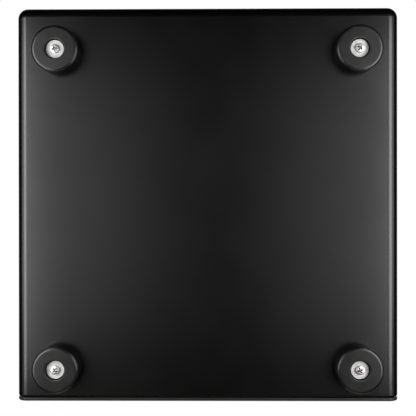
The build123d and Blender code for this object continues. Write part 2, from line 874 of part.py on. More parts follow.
with BuildPart() as keypad_bezel:
    with BuildSketch(console.offset(-bezel_thickness)):
        with Locations((0, bezel_centre)):
            RectangleRounded(bezel_width, bezel_depth, recess_radius)
        for u, width in key_columns:
            with Locations(*[(u, v) for v in key_rows]):
                RectangleRounded(width + 2 * key_gap, key_depth + 2 * key_gap,
                                 cap_radius + key_gap, mode=Mode.SUBTRACT)
        with Locations((vial_position, bezel_centre)):
            Circle(vial_diameter / 2 + panel_gap, mode=Mode.SUBTRACT)
    extrude(amount=bezel_thickness)
save(keypad_bezel, "keypad_bezel")

key_names = [
    ["zero_set", "tare", "7", "8", "9", "clear"],
    ["sample", "unit_weight", "4", "5", "6", "point"],
    ["power", "add", "1", "2", "3", "0"],
]
stem_end = key_board_top - key_travel - panel_gap
console_normal = Axis(console.origin, console.z_dir)

for names, v in zip(key_names, key_rows):
    for name, (u, width) in zip(names, key_columns):
        cap_bottom = -bezel_thickness - bezel_lip_gap
        with BuildPart() as key:
            with BuildSketch(console.offset(cap_bottom)):
                with Locations((u, v)):
                    RectangleRounded(width, key_depth, cap_radius)
            extrude(amount=key_stand - cap_bottom, taper=cap_taper)
            chamfer(key.faces().sort_by(console_normal)[-1].edges(), cap_chamfer)
            with BuildSketch(console.offset(cap_bottom)):
                with Locations((u, v)):
                    Rectangle(width + 2 * key_lip, key_depth + 2 * key_lip)
            extrude(amount=-key_wall)
            with BuildSketch(console.offset(cap_bottom - key_wall)):
                with Locations((u, v)):
                    Rectangle(width - 2 * key_side_wall, key_depth - 2 * key_side_wall)
            extrude(amount=key_stand - cap_bottom, mode=Mode.SUBTRACT)
            with BuildSketch(console.offset(-stem_end)):
                with Locations((u, v)):
                    Circle(stem_diameter / 2)
            extrude(amount=stem_end + key_stand - key_wall / 2)
        save(key, f"key_{name}")

key_places = [(u, v) for u, width in key_columns for v in key_rows]
with BuildPart() as key_mat:
    with BuildSketch(console.offset(-key_board_top)):
        with Locations((key_block_centre, bezel_centre)):
            Rectangle(key_block_width + 2 * key_lip, key_board_depth - 2 * key_board_inset)
    extrude(amount=mat_thickness)
    with BuildSketch(console.offset(-mat_top)):
        with Locations(*key_places):
            Circle(stem_diameter / 2 + stem_clearance + mat_ring_wall)
    extrude(amount=mat_ring_height)
    with BuildSketch(console.offset(-key_board_top)):
        with Locations(*key_places):
            Circle(stem_diameter / 2 + stem_clearance)
    extrude(amount=mat_thickness + mat_ring_height, mode=Mode.SUBTRACT)
save(key_mat, "key_mat")

# ================================================================ boards and display
with BuildPart() as key_board:
    with BuildSketch(console.offset(-key_board_top)):
        with Locations((key_block_centre, bezel_centre)):
            Rectangle(key_board_width, key_board_depth)
        with Locations(*key_post_places):
            Circle(small_screw_diameter / 2, mode=Mode.SUBTRACT)
    extrude(amount=-board_thickness)
save(key_board, "key_board")

with BuildPart() as display_lens:
    with BuildSketch(console.offset(-lens_thickness)):
        with Locations((0, lens_centre)):
            RectangleRounded(lens_width, lens_depth, recess_radius)
    extrude(amount=lens_thickness)
save(display_lens, "display_lens")

module_border = 5.0
module_height = 30.0
with BuildPart() as lcd_modules:
    with BuildSketch(console.offset(-display_board_top)):
        with Locations(*window_places):
            Rectangle(window_width + 2 * module_border, module_height)
    extrude(amount=display_thickness)
save(lcd_modules, "lcd_modules")

with BuildPart() as display_board:
    with BuildSketch(console.offset(-display_board_top)):
        with Locations((0, lens_centre)):
            Rectangle(display_board_width, display_board_depth)
        with Locations(*display_post_places):
            Circle(small_screw_diameter / 2, mode=Mode.SUBTRACT)
    extrude(amount=-board_thickness)
save(display_board, "display_board")

main_board_top = main_board_bottom + board_thickness
with BuildPart() as main_board:
    with BuildSketch(Plane.XY.offset(main_board_bottom)):
        with Locations(main_board_centre):
            Rectangle(main_board_width, main_board_depth)
        with Locations(*main_board_places):
            Circle(small_screw_diameter / 2, mode=Mode.SUBTRACT)
    extrude(amount=board_thickness)
save(main_board, "main_board")

chip_size = 14.0
chip_height = 2.0
chip_pitch = 30.0
chip_lift = 4.0
chip_places = [(i * chip_pitch, chip_lift) for i in (-1, 0, 1)]
header_width = 22.0
header_depth = 6.0
header_height = 8.0
header_pitch = 30.0
header_inset = 8.0
header_row = header_inset - main_board_depth / 2
header_places = [(side * header_pitch / 2, header_row) for side in (-1, 1)]
capacitor_diameter = 12.0
capacitor_height = 14.0
capacitor_pitch = 22.0
capacitor_inset = 23.0
capacitor_column = main_board_width / 2 - capacitor_inset
capacitor_places = [(capacitor_column, side * capacitor_pitch / 2) for side in (-1, 1)]
heat_sink_width = 12.0
heat_sink_depth = 8.0
heat_sink_height = 15.0
heat_sink_inset = 39.0
heat_sink_place = (main_board_width / 2 - heat_sink_inset, header_row)
with BuildPart() as board_components:
    with Locations((*main_board_centre, main_board_top)):
        with Locations(*chip_places):
            Box(chip_size, chip_size, chip_height, align=UP)
        with Locations(*header_places):
            Box(header_width, header_depth, header_height, align=UP)
        with Locations(*capacitor_places):
            Cylinder(capacitor_diameter / 2, capacitor_height, align=UP)
        with Locations(heat_sink_place):
            Box(heat_sink_width, heat_sink_depth, heat_sink_height, align=UP)
save(board_components, "board_components")

strap_screw_seats = facing(at(strap_places, rail_top + strap_thickness), (0, 0, 1))
transformer_tab_thickness = strap_thickness
transformer_seats = facing(at(transformer_places, rail_top + transformer_tab_thickness), (0, 0, 1))
main_board_seats = facing(at(main_board_places, main_board_top), (0, 0, 1))


def console_seats(places, depth):
    """Screw seats on the inner face of a console board."""
    back = console.offset(-depth)
    return [
        Plane(origin=back.from_local_coords((u, v, 0)), z_dir=-console.z_dir) for u, v in places
    ]


with BuildPart() as board_screws:
    for seats in (
        strap_screw_seats,
        transformer_seats,
        main_board_seats,
        console_seats(key_post_places, key_board_top + board_thickness),
        console_seats(display_post_places, display_board_top + board_thickness),
    ):
        add_screws(
            seats, small_screw_diameter, small_screw_length, small_head_diameter, small_head_height
        )
save(board_screws, "board_screws")

# ================================================================ level
vial_flange = 1.5
vial_flange_height = 0.8
vial_depth = 6.0
vial_wall = 1.2
with BuildPart() as level_vial:
    with BuildSketch(console):
        with Locations((vial_position, bezel_centre)):
            Circle(vial_diameter / 2 + vial_flange)
    extrude(amount=vial_flange_height)
    with BuildSketch(console.offset(-vial_depth)):
        with Locations((vial_position, bezel_centre)):
            Circle(vial_diameter / 2)
    extrude(amount=vial_depth)
    with BuildSketch(console.offset(vial_wall - vial_depth)):
        with Locations((vial_position, bezel_centre)):
            Circle(vial_diameter / 2 - vial_wall)
    extrude(amount=vial_depth, mode=Mode.SUBTRACT)
save(level_vial, "level_vial")

with BuildPart() as level_lens:
    with BuildSketch(console.offset(vial_wall - vial_depth)):
        with Locations((vial_position, bezel_centre)):
            Circle(vial_diameter / 2 - vial_wall)
    extrude(amount=vial_depth - vial_wall + vial_flange_height)
save(level_lens, "level_lens")

# ================================================================ battery and transformer
terminal_size = 6.0
terminal_inset = 8.0
battery_edge_radius = 2.0
battery_top = floor_top + battery_height
with BuildPart() as battery:
    with Locations((*battery_centre, floor_top)):
        Box(battery_width, battery_depth, battery_height, align=UP)
    fillet(battery.edges().filter_by(Axis.Z), battery_edge_radius)
    with Locations((*battery_centre, battery_top)):
        with GridLocations(battery_width - 2 * terminal_inset, 0, 2, 1):
            Box(terminal_size, terminal_size, terminal_size, align=UP)
save(battery, "battery")

with BuildPart() as battery_strap:
    with BuildSketch(Plane.YZ.offset(battery_centre[0])):
        with Locations((battery_centre[1], rail_top)):
            Rectangle(battery_depth + 2 * strap_tab, strap_thickness,
                      align=(Align.CENTER, Align.MIN))
            Rectangle(battery_depth + 2 * strap_thickness,
                      battery_top + strap_thickness - rail_top, align=(Align.CENTER, Align.MIN))
            Rectangle(battery_depth, battery_top - rail_top, align=(Align.CENTER, Align.MIN),
                      mode=Mode.SUBTRACT)
    extrude(amount=strap_width / 2, both=True)
    with Locations(*at(strap_places, rail_top)):
        Cylinder(small_screw_diameter / 2, strap_thickness, align=UP, mode=Mode.SUBTRACT)
save(battery_strap, "battery_strap")

with BuildPart() as transformer:
    with Locations((*transformer_centre, rail_top + transformer_tab_thickness)):
        Box(transformer_core, transformer_width, transformer_height, align=UP)
        with Locations((0, 0, (transformer_height - coil_height) / 2)):
            Box(coil_depth, coil_width, coil_height, align=UP)
    with Locations((*transformer_centre, rail_top)):
        Box(tab_width, transformer_tab_span + tab_width, transformer_tab_thickness, align=UP)
    with Locations(*at(transformer_places, rail_top)):
        Cylinder(small_screw_diameter / 2, transformer_tab_thickness, align=UP,
                 mode=Mode.SUBTRACT)
save(transformer, "transformer")

# ================================================================ rear connectors
inlet_flange_width = 50.0
inlet_flange_height = 22.5
inlet_flange_thickness = 2.5
flange_radius = 1.0
inlet_chamfer = 5.0
inlet_body_width = 27.0
inlet_body_height = 19.5
inlet_body_depth = 20.0
inlet_cavity_width = 24.0
inlet_cavity_height = 16.0
inlet_cavity_depth = 16.0
inlet_pin_length = 11.0
inlet_pin_width = 2.0
inlet_pin_height = 4.0
inlet_pin_spacing = 14.0

switch_flange_width = 21.0
switch_flange_height = 15.0
switch_flange_thickness = 2.0
switch_body_width = 19.2
switch_body_height = 12.9
switch_body_depth = 14.2
rocker_radius = 8.2
rocker_clearance = 0.3
rocker_side_wall = 1.4
rocker_face = 4.6
rocker_tilt = 10.0
rocker_pin_diameter = 2.4
pivot_inset = 1.5

serial_flange_width = 31.0
serial_flange_height = 12.5
serial_flange_thickness = 0.8
serial_shell_width = 16.9
serial_shell_height = 8.3
serial_shell_slope = 80.0
serial_protrusion = 5.5
serial_body_depth = 10.0
jack_spacing = 25.0
jack_diameter = 4.8
jack_hole_diameter = 2.4
jack_height = 5.0
nut_sides = 6

rear_face = Plane(origin=(0, panel_face, bay_middle), x_dir=(-1, 0, 0), z_dir=(0, 1, 0))

with BuildPart() as rear_panel:
    with BuildSketch(rear_face):
        Rectangle(bay_width + 2 * panel_overlap, bay_height + 2 * bay_frame)
        with Locations((-inlet_position, 0)):
            Rectangle(inlet_body_width, inlet_body_height, mode=Mode.SUBTRACT)
        with Locations((-rocker_position, 0)):
            Rectangle(switch_body_width, switch_body_height, mode=Mode.SUBTRACT)
        with Locations((-serial_position, 0)):
            Rectangle(serial_shell_width, serial_shell_height, mode=Mode.SUBTRACT)
        with Locations(*[(-x, z - bay_middle) for x, y, z in rear_screw_places]):
            Circle(small_screw_diameter / 2, mode=Mode.SUBTRACT)
    extrude(amount=-panel_thickness)
save(rear_panel, "rear_panel")

inlet_mouth = rear_face.offset(inlet_flange_thickness)
inlet_place = (-inlet_position, 0)
with BuildPart() as mains_inlet:
    with BuildSketch(rear_face):
        with Locations(inlet_place):
            RectangleRounded(inlet_flange_width, inlet_flange_height, flange_radius)
    extrude(amount=inlet_flange_thickness)
    with BuildSketch(inlet_mouth):
        with Locations(inlet_place):
            Rectangle(inlet_body_width, inlet_body_height)
    extrude(amount=-inlet_body_depth)
    with BuildSketch(inlet_mouth) as cavity:
        with Locations(inlet_place):
            Rectangle(inlet_cavity_width, inlet_cavity_height)
        chamfer(cavity.vertices().group_by(Axis.Z)[0], inlet_chamfer)
    extrude(amount=-inlet_cavity_depth, mode=Mode.SUBTRACT)
save(mains_inlet, "mains_inlet")

with BuildPart() as inlet_pins:
    with BuildSketch(inlet_mouth.offset(-inlet_cavity_depth)):
        with Locations(
            (-inlet_position - inlet_pin_spacing / 2, -inlet_pin_height / 2),
            (-inlet_position + inlet_pin_spacing / 2, -inlet_pin_height / 2),
            (-inlet_position, inlet_pin_height / 2),
        ):
            Rectangle(inlet_pin_width, inlet_pin_height)
    extrude(amount=inlet_pin_length)
save(inlet_pins, "inlet_pins")

pivot_plane = Plane(origin=(rocker_position, panel_face - pivot_inset, bay_middle))
rocker_plane = pivot_plane.rotated((0, 0, rocker_tilt))
cavity_half = rocker_radius + rocker_clearance
rocker_height = switch_body_height - 2 * rocker_side_wall - rocker_clearance
with BuildPart() as switch_body:
    with BuildSketch(rear_face):
        with Locations((-rocker_position, 0)):
            RectangleRounded(switch_flange_width, switch_flange_height, flange_radius)
    extrude(amount=switch_flange_thickness)
    with BuildSketch(rear_face):
        with Locations((-rocker_position, 0)):
            Rectangle(switch_body_width, switch_body_height)
    extrude(amount=-switch_body_depth)
    with BuildSketch(rear_face.offset(switch_flange_thickness)):
        with Locations((-rocker_position, 0)):
            Rectangle(2 * cavity_half, switch_body_height - 2 * rocker_side_wall)
    extrude(amount=-(switch_flange_thickness + pivot_inset + cavity_half), mode=Mode.SUBTRACT)
    with Locations(pivot_plane):
        Cylinder(rocker_pin_diameter / 2, switch_body_height, mode=Mode.SUBTRACT)
save(switch_body, "switch_body")

# The two faces of the rocker meet in a shallow V, and one side is pressed in at rest.
with BuildPart() as rocker:
    with BuildSketch(rocker_plane.offset(-rocker_height / 2)):
        Circle(rocker_radius)
        face_height = rocker_face / cos(radians(rocker_tilt))
        reach = 2 * rocker_radius
        for side in (-1, 1):
            with BuildLine():
                Polyline(
                    (0, face_height),
                    (side * reach, face_height + reach * tan(radians(rocker_tilt))),
                    (side * reach, 2 * reach),
                    (0, 2 * reach),
                    close=True,
                )
            make_face(mode=Mode.SUBTRACT)
    extrude(amount=rocker_height)
    with Locations(pivot_plane):
        Cylinder(rocker_pin_diameter / 2, switch_body_height - panel_gap)
save(rocker, "rocker")

with BuildPart() as serial_port:
    with BuildSketch(rear_face):
        with Locations((-serial_position, 0)):
            RectangleRounded(serial_flange_width, serial_flange_height, flange_radius)
    extrude(amount=serial_flange_thickness)
    with BuildSketch(rear_face):
        with Locations((-serial_position, 0)):
            Trapezoid(serial_shell_width, serial_shell_height, serial_shell_slope)
    extrude(amount=serial_protrusion)
    with BuildSketch(rear_face):
        with Locations((-serial_position, 0)):
            Rectangle(serial_shell_width, serial_shell_height)
    extrude(amount=-serial_body_depth)
save(serial_port, "serial_port")

with BuildPart() as jack_nuts:
    with BuildSketch(rear_face.offset(serial_flange_thickness)):
        with Locations((-serial_position, 0)):
            with GridLocations(jack_spacing, 0, 2, 1):
                RegularPolygon(jack_diameter / 2, nut_sides)
                Circle(jack_hole_diameter / 2, mode=Mode.SUBTRACT)
    extrude(amount=jack_height)
save(jack_nuts, "jack_nuts")
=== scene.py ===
"""Looks, light and camera for a bench counting scale, shown from below in its main view.

Units are metres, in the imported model's own frame: +Z up, -Y the operator's side.
"""

import json
import math

import bmesh
import bpy
from mathutils import Matrix, Vector

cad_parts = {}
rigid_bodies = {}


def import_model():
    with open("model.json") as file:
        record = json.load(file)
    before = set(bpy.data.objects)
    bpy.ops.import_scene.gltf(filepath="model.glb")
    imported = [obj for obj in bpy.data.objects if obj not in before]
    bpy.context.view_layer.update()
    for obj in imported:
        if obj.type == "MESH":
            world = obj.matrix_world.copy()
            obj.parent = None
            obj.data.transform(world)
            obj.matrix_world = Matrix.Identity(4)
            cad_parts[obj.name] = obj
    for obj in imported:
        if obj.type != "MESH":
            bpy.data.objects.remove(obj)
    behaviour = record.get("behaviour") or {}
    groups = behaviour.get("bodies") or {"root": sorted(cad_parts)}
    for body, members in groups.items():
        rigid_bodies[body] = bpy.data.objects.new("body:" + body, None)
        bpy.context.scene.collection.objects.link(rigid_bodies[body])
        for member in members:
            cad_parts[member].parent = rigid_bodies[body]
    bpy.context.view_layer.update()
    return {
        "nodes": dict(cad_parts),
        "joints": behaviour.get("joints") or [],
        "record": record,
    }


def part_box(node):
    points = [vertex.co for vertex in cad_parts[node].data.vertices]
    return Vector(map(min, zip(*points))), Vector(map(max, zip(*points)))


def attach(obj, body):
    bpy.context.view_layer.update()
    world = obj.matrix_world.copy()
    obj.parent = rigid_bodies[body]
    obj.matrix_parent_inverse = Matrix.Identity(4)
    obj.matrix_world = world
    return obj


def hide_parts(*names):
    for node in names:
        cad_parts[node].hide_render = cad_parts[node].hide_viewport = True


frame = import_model()
nodes = frame["nodes"]
joints = {joint["name"]: joint for joint in frame["joints"]}
slots = {entry["node"]: entry["material_slot"] for entry in frame["record"]["subparts"]}
MM = 0.001


# ---------------------------------------------------------------- shader helpers
NOISE_SPREAD = (0.35, 0.65)  # most values of a noise lie between these
BROAD_NOISE = (35.0, 4.0)  # scale and detail of the patches in a moulding
MOULD_GRAIN = 2600.0
MOULD_GRAIN_DEPTH = 0.06 * MM
MOULD_UNEVENNESS = 0.012  # of its roughness, to either side
MOULD_MOTTLE = 1.15
CLEAR_IOR = 1.49
TINTED_IOR = 1.9  # above that of acrylic, because the alpha weakens the gloss


class Shader:
    """A Principled material with a few procedural layers on object coordinates."""

    def __init__(self, name, color, roughness, metallic=0.0, specular=0.5):
        self.material = bpy.data.materials.new(name)
        self.material.use_nodes = True
        self.tree = self.material.node_tree
        self.bsdf = self.tree.nodes["Principled BSDF"]
        self.color = color
        self.bsdf.inputs["Base Color"].default_value = (*color, 1)
        self.bsdf.inputs["Roughness"].default_value = roughness
        self.bsdf.inputs["Metallic"].default_value = metallic
        self.bsdf.inputs["Specular IOR Level"].default_value = specular
        self.material.diffuse_color = (*color, 1)
        self.coordinates = self.add("ShaderNodeTexCoord").outputs["Object"]

    def add(self, kind):
        return self.tree.nodes.new(kind)

    def link(self, source, target):
        self.tree.links.new(source, target)

    def stretched(self, scale):
        """Object coordinates scaled per axis, for brushed or drawn surfaces."""
        mapping = self.add("ShaderNodeMapping")
        mapping.inputs["Scale"].default_value = scale
        self.link(self.coordinates, mapping.inputs["Vector"])
        return mapping.outputs["Vector"]

    def noise(self, scale, detail=3.0, roughness=0.5, vector=None):
        node = self.add("ShaderNodeTexNoise")
        node.inputs["Scale"].default_value = scale
        node.inputs["Detail"].default_value = detail
        node.inputs["Roughness"].default_value = roughness
        self.link(vector or self.coordinates, node.inputs["Vector"])
        return node.outputs["Fac"]

    def ramp(self, value, low, high, to_low, to_high):
        node = self.add("ShaderNodeMapRange")
        node.inputs["From Min"].default_value = low
        node.inputs["From Max"].default_value = high
        node.inputs["To Min"].default_value = to_low
        node.inputs["To Max"].default_value = to_high
        self.link(value, node.inputs["Value"])
        return node.outputs["Result"]

    def above(self, level, blend):
        """0 up to a height and 1 above it, with a blend between them."""
        split = self.add("ShaderNodeSeparateXYZ")
        self.link(self.coordinates, split.inputs["Vector"])
        return self.ramp(split.outputs["Z"], level, level + blend, 0.0, 1.0)

    def drive(self, setting, factor, low, high):
        """Takes a setting of the surface from low to high with a factor of 0 to 1."""
        self.link(self.ramp(factor, 0.0, 1.0, low, high), self.bsdf.inputs[setting])

    def vary_roughness(self, value, low, high):
        self.link(self.ramp(value, *NOISE_SPREAD, low, high), self.bsdf.inputs["Roughness"])

    def mix(self, factor, low, high):
        """A blend of two colours, either of which may come from another node."""
        node = self.add("ShaderNodeMix")
        node.data_type = "RGBA"
        self.link(factor, node.inputs["Factor"])
        ends = [socket for socket in node.inputs if socket.type == "RGBA"]
        for socket, color in zip(ends, (low, high)):
            if isinstance(color, tuple):
                socket.default_value = (*color, 1)
            else:
                self.link(color, socket)
        return next(socket for socket in node.outputs if socket.type == "RGBA")

    def vary_color(self, value, other):
        blend = self.mix(self.ramp(value, *NOISE_SPREAD, 0.0, 1.0), self.color, other)
        self.link(blend, self.bsdf.inputs["Base Color"])

    def bump(self, value, strength, distance):
        node = self.add("ShaderNodeBump")
        node.inputs["Strength"].default_value = strength
        node.inputs["Distance"].default_value = distance
        self.link(value, node.inputs["Height"])
        previous = self.bsdf.inputs["Normal"].links
        if previous:
            self.link(previous[0].from_socket, node.inputs["Normal"])
        self.link(node.outputs["Normal"], self.bsdf.inputs["Normal"])


def shade(color, factor):
    """A colour made lighter or darker."""
    return tuple(channel * factor for channel in color)


def moulded(name, color, roughness, grain=MOULD_GRAIN, depth=0.25):
    """Injection-moulded plastic with a fine spark-eroded grain."""
    shader = Shader(name, color, roughness)
    broad = shader.noise(*BROAD_NOISE)
    shader.vary_roughness(broad, roughness - MOULD_UNEVENNESS, roughness + MOULD_UNEVENNESS)
    shader.vary_color(broad, shade(color, MOULD_MOTTLE))
    shader.bump(shader.noise(grain, 2.0), depth, MOULD_GRAIN_DEPTH)
    return shader


def case_finish(name, underside, walls, level):
    """Case plastic: polished on the underside and spark-eroded above a level. Its underside colour
    is painted shade, far darker than the walls' black.
    """
    polished, grained = 0.253, 0.45
    shader = Shader(name, underside, polished)
    wall = shader.above(level, 1.0 * MM)
    broad = shader.noise(*BROAD_NOISE)
    uneven = shader.ramp(broad, *NOISE_SPREAD, -MOULD_UNEVENNESS, MOULD_UNEVENNESS)
    roughness = shader.add("ShaderNodeMath")
    shader.link(shader.ramp(wall, 0.0, 1.0, polished, grained), roughness.inputs[0])
    shader.link(uneven, roughness.inputs[1])
    shader.link(roughness.outputs["Value"], shader.bsdf.inputs["Roughness"])
    shader.drive("Specular IOR Level", wall, 0.5, 0.15)
    mottled = shader.mix(broad, walls, shade(walls, MOULD_MOTTLE))
    # Below the level the colour is the painted-shade black of the underside; above it, the walls'
    # own black with mottle.
    shader.link(shader.mix(wall, underside, mottled), shader.bsdf.inputs["Base Color"])
    shader.bump(shader.noise(MOULD_GRAIN, 2.0), 0.1, MOULD_GRAIN_DEPTH)
    return shader


def rubber(name, color, roughness):
    """Moulded rubber: a soft grain with slightly chalky patches."""
    shader = Shader(name, color, roughness, specular=0.4)
    broad = shader.noise(90.0, 5.0, 0.6)
    shader.vary_color(broad, shade(color, 1.5))
    shader.vary_roughness(broad, roughness - 0.05, roughness + 0.06)
    shader.bump(shader.noise(1800.0, 3.0), 0.3, 0.08 * MM)
    return shader


def metal(name, color, roughness, scratch=(900.0, 900.0, 900.0), depth=0.15, metallic=1.0):
    """Plain metal with fine wear in its finish."""
    shader = Shader(name, color, roughness, metallic)
    fine = shader.noise(1.0, 3.0, 0.6, shader.stretched(scratch))
    shader.vary_roughness(fine, roughness - 0.06, roughness + 0.08)
    shader.vary_color(fine, shade(color, 0.9))
    shader.bump(fine, depth, 0.03 * MM)
    return shader


def board_green():
    """Solder mask over faint copper tracks."""
    shader = Shader("circuit_board", (0.012, 0.1, 0.045), 0.35)
    tracks = shader.add("ShaderNodeTexBrick")
    tracks.inputs["Scale"].default_value = 120.0
    tracks.inputs["Mortar Size"].default_value = 0.06
    tracks.inputs["Color1"].default_value = (0.012, 0.1, 0.045, 1)
    tracks.inputs["Color2"].default_value = (0.012, 0.115, 0.05, 1)
    tracks.inputs["Mortar"].default_value = (0.03, 0.2, 0.08, 1)
    shader.link(shader.coordinates, tracks.inputs["Vector"])
    shader.link(tracks.outputs["Color"], shader.bsdf.inputs["Base Color"])
    return shader


def glossy(name, color, roughness, ior):
    """A smooth sheet or lens with slight smears."""
    shader = Shader(name, color, roughness)
    shader.bsdf.inputs["IOR"].default_value = ior
    shader.vary_roughness(shader.noise(60.0), roughness, roughness + 0.03)
    return shader


def clear(name, color, roughness, transmission, ior=CLEAR_IOR):
    """Clear plastic or air, which bends what is seen through it."""
    shader = glossy(name, color, roughness, ior)
    shader.bsdf.inputs["Transmission Weight"].default_value = transmission
    return shader


def tinted_sheet(name, color, roughness, alpha):
    """A tinted acrylic sheet: mostly seen through, with a gloss of its own."""
    shader = glossy(name, color, roughness, TINTED_IOR)
    shader.bsdf.inputs["Alpha"].default_value = alpha
    return shader


# ---------------------------------------------------------------- materials by slot
# The underside black is painted shade: the same plastic as the walls, painted far darker. The
# polish level is also where that painted shade ends.
UNDERSIDE_SHADE_BLACK = (0.0008, 0.0008, 0.00083)
WALL_BLACK = (0.015, 0.015, 0.0157)
POLISH_AND_SHADE_HEIGHT = 7.0 * MM
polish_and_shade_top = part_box("base_shell")[0].z + POLISH_AND_SHADE_HEIGHT
looks = {
    "case_plastic": case_finish("case_plastic", UNDERSIDE_SHADE_BLACK, WALL_BLACK, polish_and_shade_top),
    "fascia_plastic": moulded("fascia_plastic", (0.012, 0.0115, 0.011), 0.4),
    "seal_rubber": rubber("seal_rubber", (0.02, 0.02, 0.021), 0.7),
    "foot_rubber": rubber("foot_rubber", (0.0025, 0.0025, 0.0026), 0.37),
    "buffer_rubber": rubber("buffer_rubber", (0.03, 0.03, 0.032), 0.7),
    "zinc": metal("zinc", (0.86, 0.86, 0.84), 0.3),
    "plated_sheet": metal("plated_sheet", (0.62, 0.62, 0.6), 0.35, (120.0, 900.0, 900.0)),
    "bolt_steel": metal("bolt_steel", (0.5, 0.5, 0.5), 0.35),
    "cell_aluminium": metal("cell_aluminium", (0.75, 0.76, 0.77), 0.32, (60.0, 1500.0, 1500.0)),
    "cast_aluminium": metal("cast_aluminium", (0.62, 0.63, 0.64), 0.5, (700.0, 700.0, 700.0), 0.5),
    "pan_steel": metal("pan_steel", (0.62, 0.61, 0.6), 0.27, (14.0, 2600.0, 900.0), 0.1),
    "bezel_plastic": moulded("bezel_plastic", (0.035, 0.045, 0.065), 0.42),
    "function_keys": moulded("function_keys", (0.03, 0.075, 0.19), 0.42),
    "digit_keys": moulded("digit_keys", (0.55, 0.55, 0.53), 0.42),
    "mat_silicone": rubber("mat_silicone", (0.16, 0.17, 0.18), 0.6),
    "circuit_board": board_green(),
    "component_plastic": moulded("component_plastic", (0.02, 0.02, 0.02), 0.5),
    "lens_acrylic": tinted_sheet("lens_acrylic", (0.02, 0.023, 0.028), 0.05, 0.3),
    "lcd_glass": moulded("lcd_glass", (0.34, 0.4, 0.28), 0.3, 4000.0, 0.05),
    "vial_plastic": moulded("vial_plastic", (0.7, 0.7, 0.68), 0.3),
    "vial_glass": clear("vial_glass", (0.75, 0.95, 0.35), 0.02, 0.95),
    "battery_plastic": moulded("battery_plastic", (0.03, 0.03, 0.034), 0.5),
    "transformer_core": metal("transformer_core", (0.2, 0.17, 0.14), 0.5, (60.0, 2500.0, 60.0)),
    "rear_panel": moulded("rear_panel", (0.02, 0.02, 0.021), 0.5, 1200.0, 0.4),
    "inlet_plastic": moulded("inlet_plastic", (0.012, 0.012, 0.013), 0.45),
    "pin_brass": metal("pin_brass", (0.78, 0.74, 0.62), 0.25),
    "rocker_plastic": moulded("rocker_plastic", (0.015, 0.015, 0.016), 0.22, 4000.0, 0.05),
    "serial_shell": metal("serial_shell", (0.7, 0.7, 0.68), 0.28),
}
for name, slot in slots.items():
    mesh = nodes[name].data
    mesh.materials.clear()
    mesh.materials.append(looks[slot].material)


# ---------------------------------------------------------------- mesh helpers
def piece(name, build, look, body, replaced=(), smooth=True):
    """A new mesh piece that rides on a body and takes a slot's finish."""
    mesh = bpy.data.meshes.new(name)
    work = bmesh.new()
    build(work)
    bmesh.ops.recalc_face_normals(work, faces=work.faces)
    for face in work.faces:
        face.smooth = smooth
    work.to_mesh(mesh)
    work.free()
    thing = bpy.data.objects.new(name, mesh)
    bpy.context.scene.collection.objects.link(thing)
    mesh.materials.append(look.material)
    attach(thing, body)
    if replaced:
        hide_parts(*replaced)
    return thing


def spot(centre, radius, turn):
    """The place at a radius from a centre, turned by so many radians from the first axis."""
    return centre[0] + radius * math.cos(turn), centre[1] + radius * math.sin(turn)


def turns(count):
    """Equal steps round a circle, in radians."""
    return [2 * math.pi * i / count for i in range(count)]


def arc(centre, radius, start, end, steps):
    """Points along an arc, between two angles in degrees."""
    angles = [math.radians(start + (end - start) * i / steps) for i in range(steps + 1)]
    return [spot(centre, radius, angle) for angle in angles]


def lathe(work, profile, centre, segments):
    """Turns a closed profile of (radius, z) points about a vertical line through centre."""
    rings = [
        [work.verts.new((*spot(centre, radius, turn), z)) for turn in turns(segments)]
        for radius, z in profile
    ]
    for lower, upper in zip(rings, rings[1:] + rings[:1]):
        for i in range(segments):
            j = (i + 1) % segments
            work.faces.new([lower[i], lower[j], upper[j], upper[i]])


def bridge(work, first, second):
    """Faces between two rings, of which one may be a single point."""
    count = max(len(first), len(second))
    faces = []
    for i in range(count):
        j = (i + 1) % count
        corners = [first[i % len(first)], second[i % len(second)]]
        corners += [second[j % len(second)], first[j % len(first)]]
        faces.append(work.faces.new(list(dict.fromkeys(corners))))
    return faces


# ---------------------------------------------------------------- feet, washers and screws
foot_low, foot_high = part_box("rubber_feet")
washer_low, washer_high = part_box("foot_washers")
screw_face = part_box("foot_screws")[0].z
foot_radius = 19.0 * MM
foot_edge = 2.6 * MM
recess_radius = 8.1 * MM
foot_bore = 2.3 * MM
washer_radius = 7.3 * MM
washer_bore = 2.2 * MM
head_radius = 3.6 * MM
foot_centres = [
    (x, y)
    for y in (foot_low.y + foot_radius, foot_high.y - foot_radius)
    for x in (foot_low.x + foot_radius, foot_high.x - foot_radius)
]


def build_feet(work):
    """Moulded feet with a full round at the tip and a recess for the washer."""
    lip = 0.15 * MM
    base_round = 0.5 * MM
    tip_radii = (15.0 * MM, 13.0 * MM, 11.0 * MM, 9.5 * MM)
    base = (foot_radius - base_round, foot_high.z - base_round)
    tip = (foot_radius - foot_edge, foot_low.z + foot_edge)
    rim = (recess_radius + lip, foot_low.z + lip)
    profile = [(foot_radius - base_round, foot_high.z)]
    profile += arc(base, base_round, 75, 0, 4)
    profile += arc(tip, foot_edge, 0, -90, 14)
    profile += [(radius, foot_low.z) for radius in tip_radii]
    profile += arc(rim, lip, -90, -180, 5)
    profile += [(recess_radius, washer_high.z), (foot_bore, washer_high.z)]
    profile += [(foot_bore, foot_high.z)]
    for centre in foot_centres:
        lathe(work, profile, centre, segments=128)


def build_washers(work):
    """Zinc washers with faint turned rings and softly rounded edges."""
    edge = 0.25 * MM
    groove = 0.018 * MM
    rings = 13
    steps_per_ring = 4
    steps = rings * steps_per_ring
    flat = washer_radius - washer_bore - 2 * edge
    rim = (washer_radius - edge, washer_low.z + edge)
    profile = [(washer_bore, washer_high.z), (washer_bore, washer_low.z + edge)]
    profile.append((washer_bore + edge, washer_low.z))
    for i in range(1, steps):
        share = i / steps
        lift = groove * (1 - math.cos(share * rings * 2 * math.pi)) / 2
        profile.append((washer_bore + edge + flat * share, washer_low.z + lift))
    profile += arc(rim, edge, -90, 0, 4)
    profile.append((washer_radius, washer_high.z))
    for centre in foot_centres:
        lathe(work, profile, centre, segments=72)


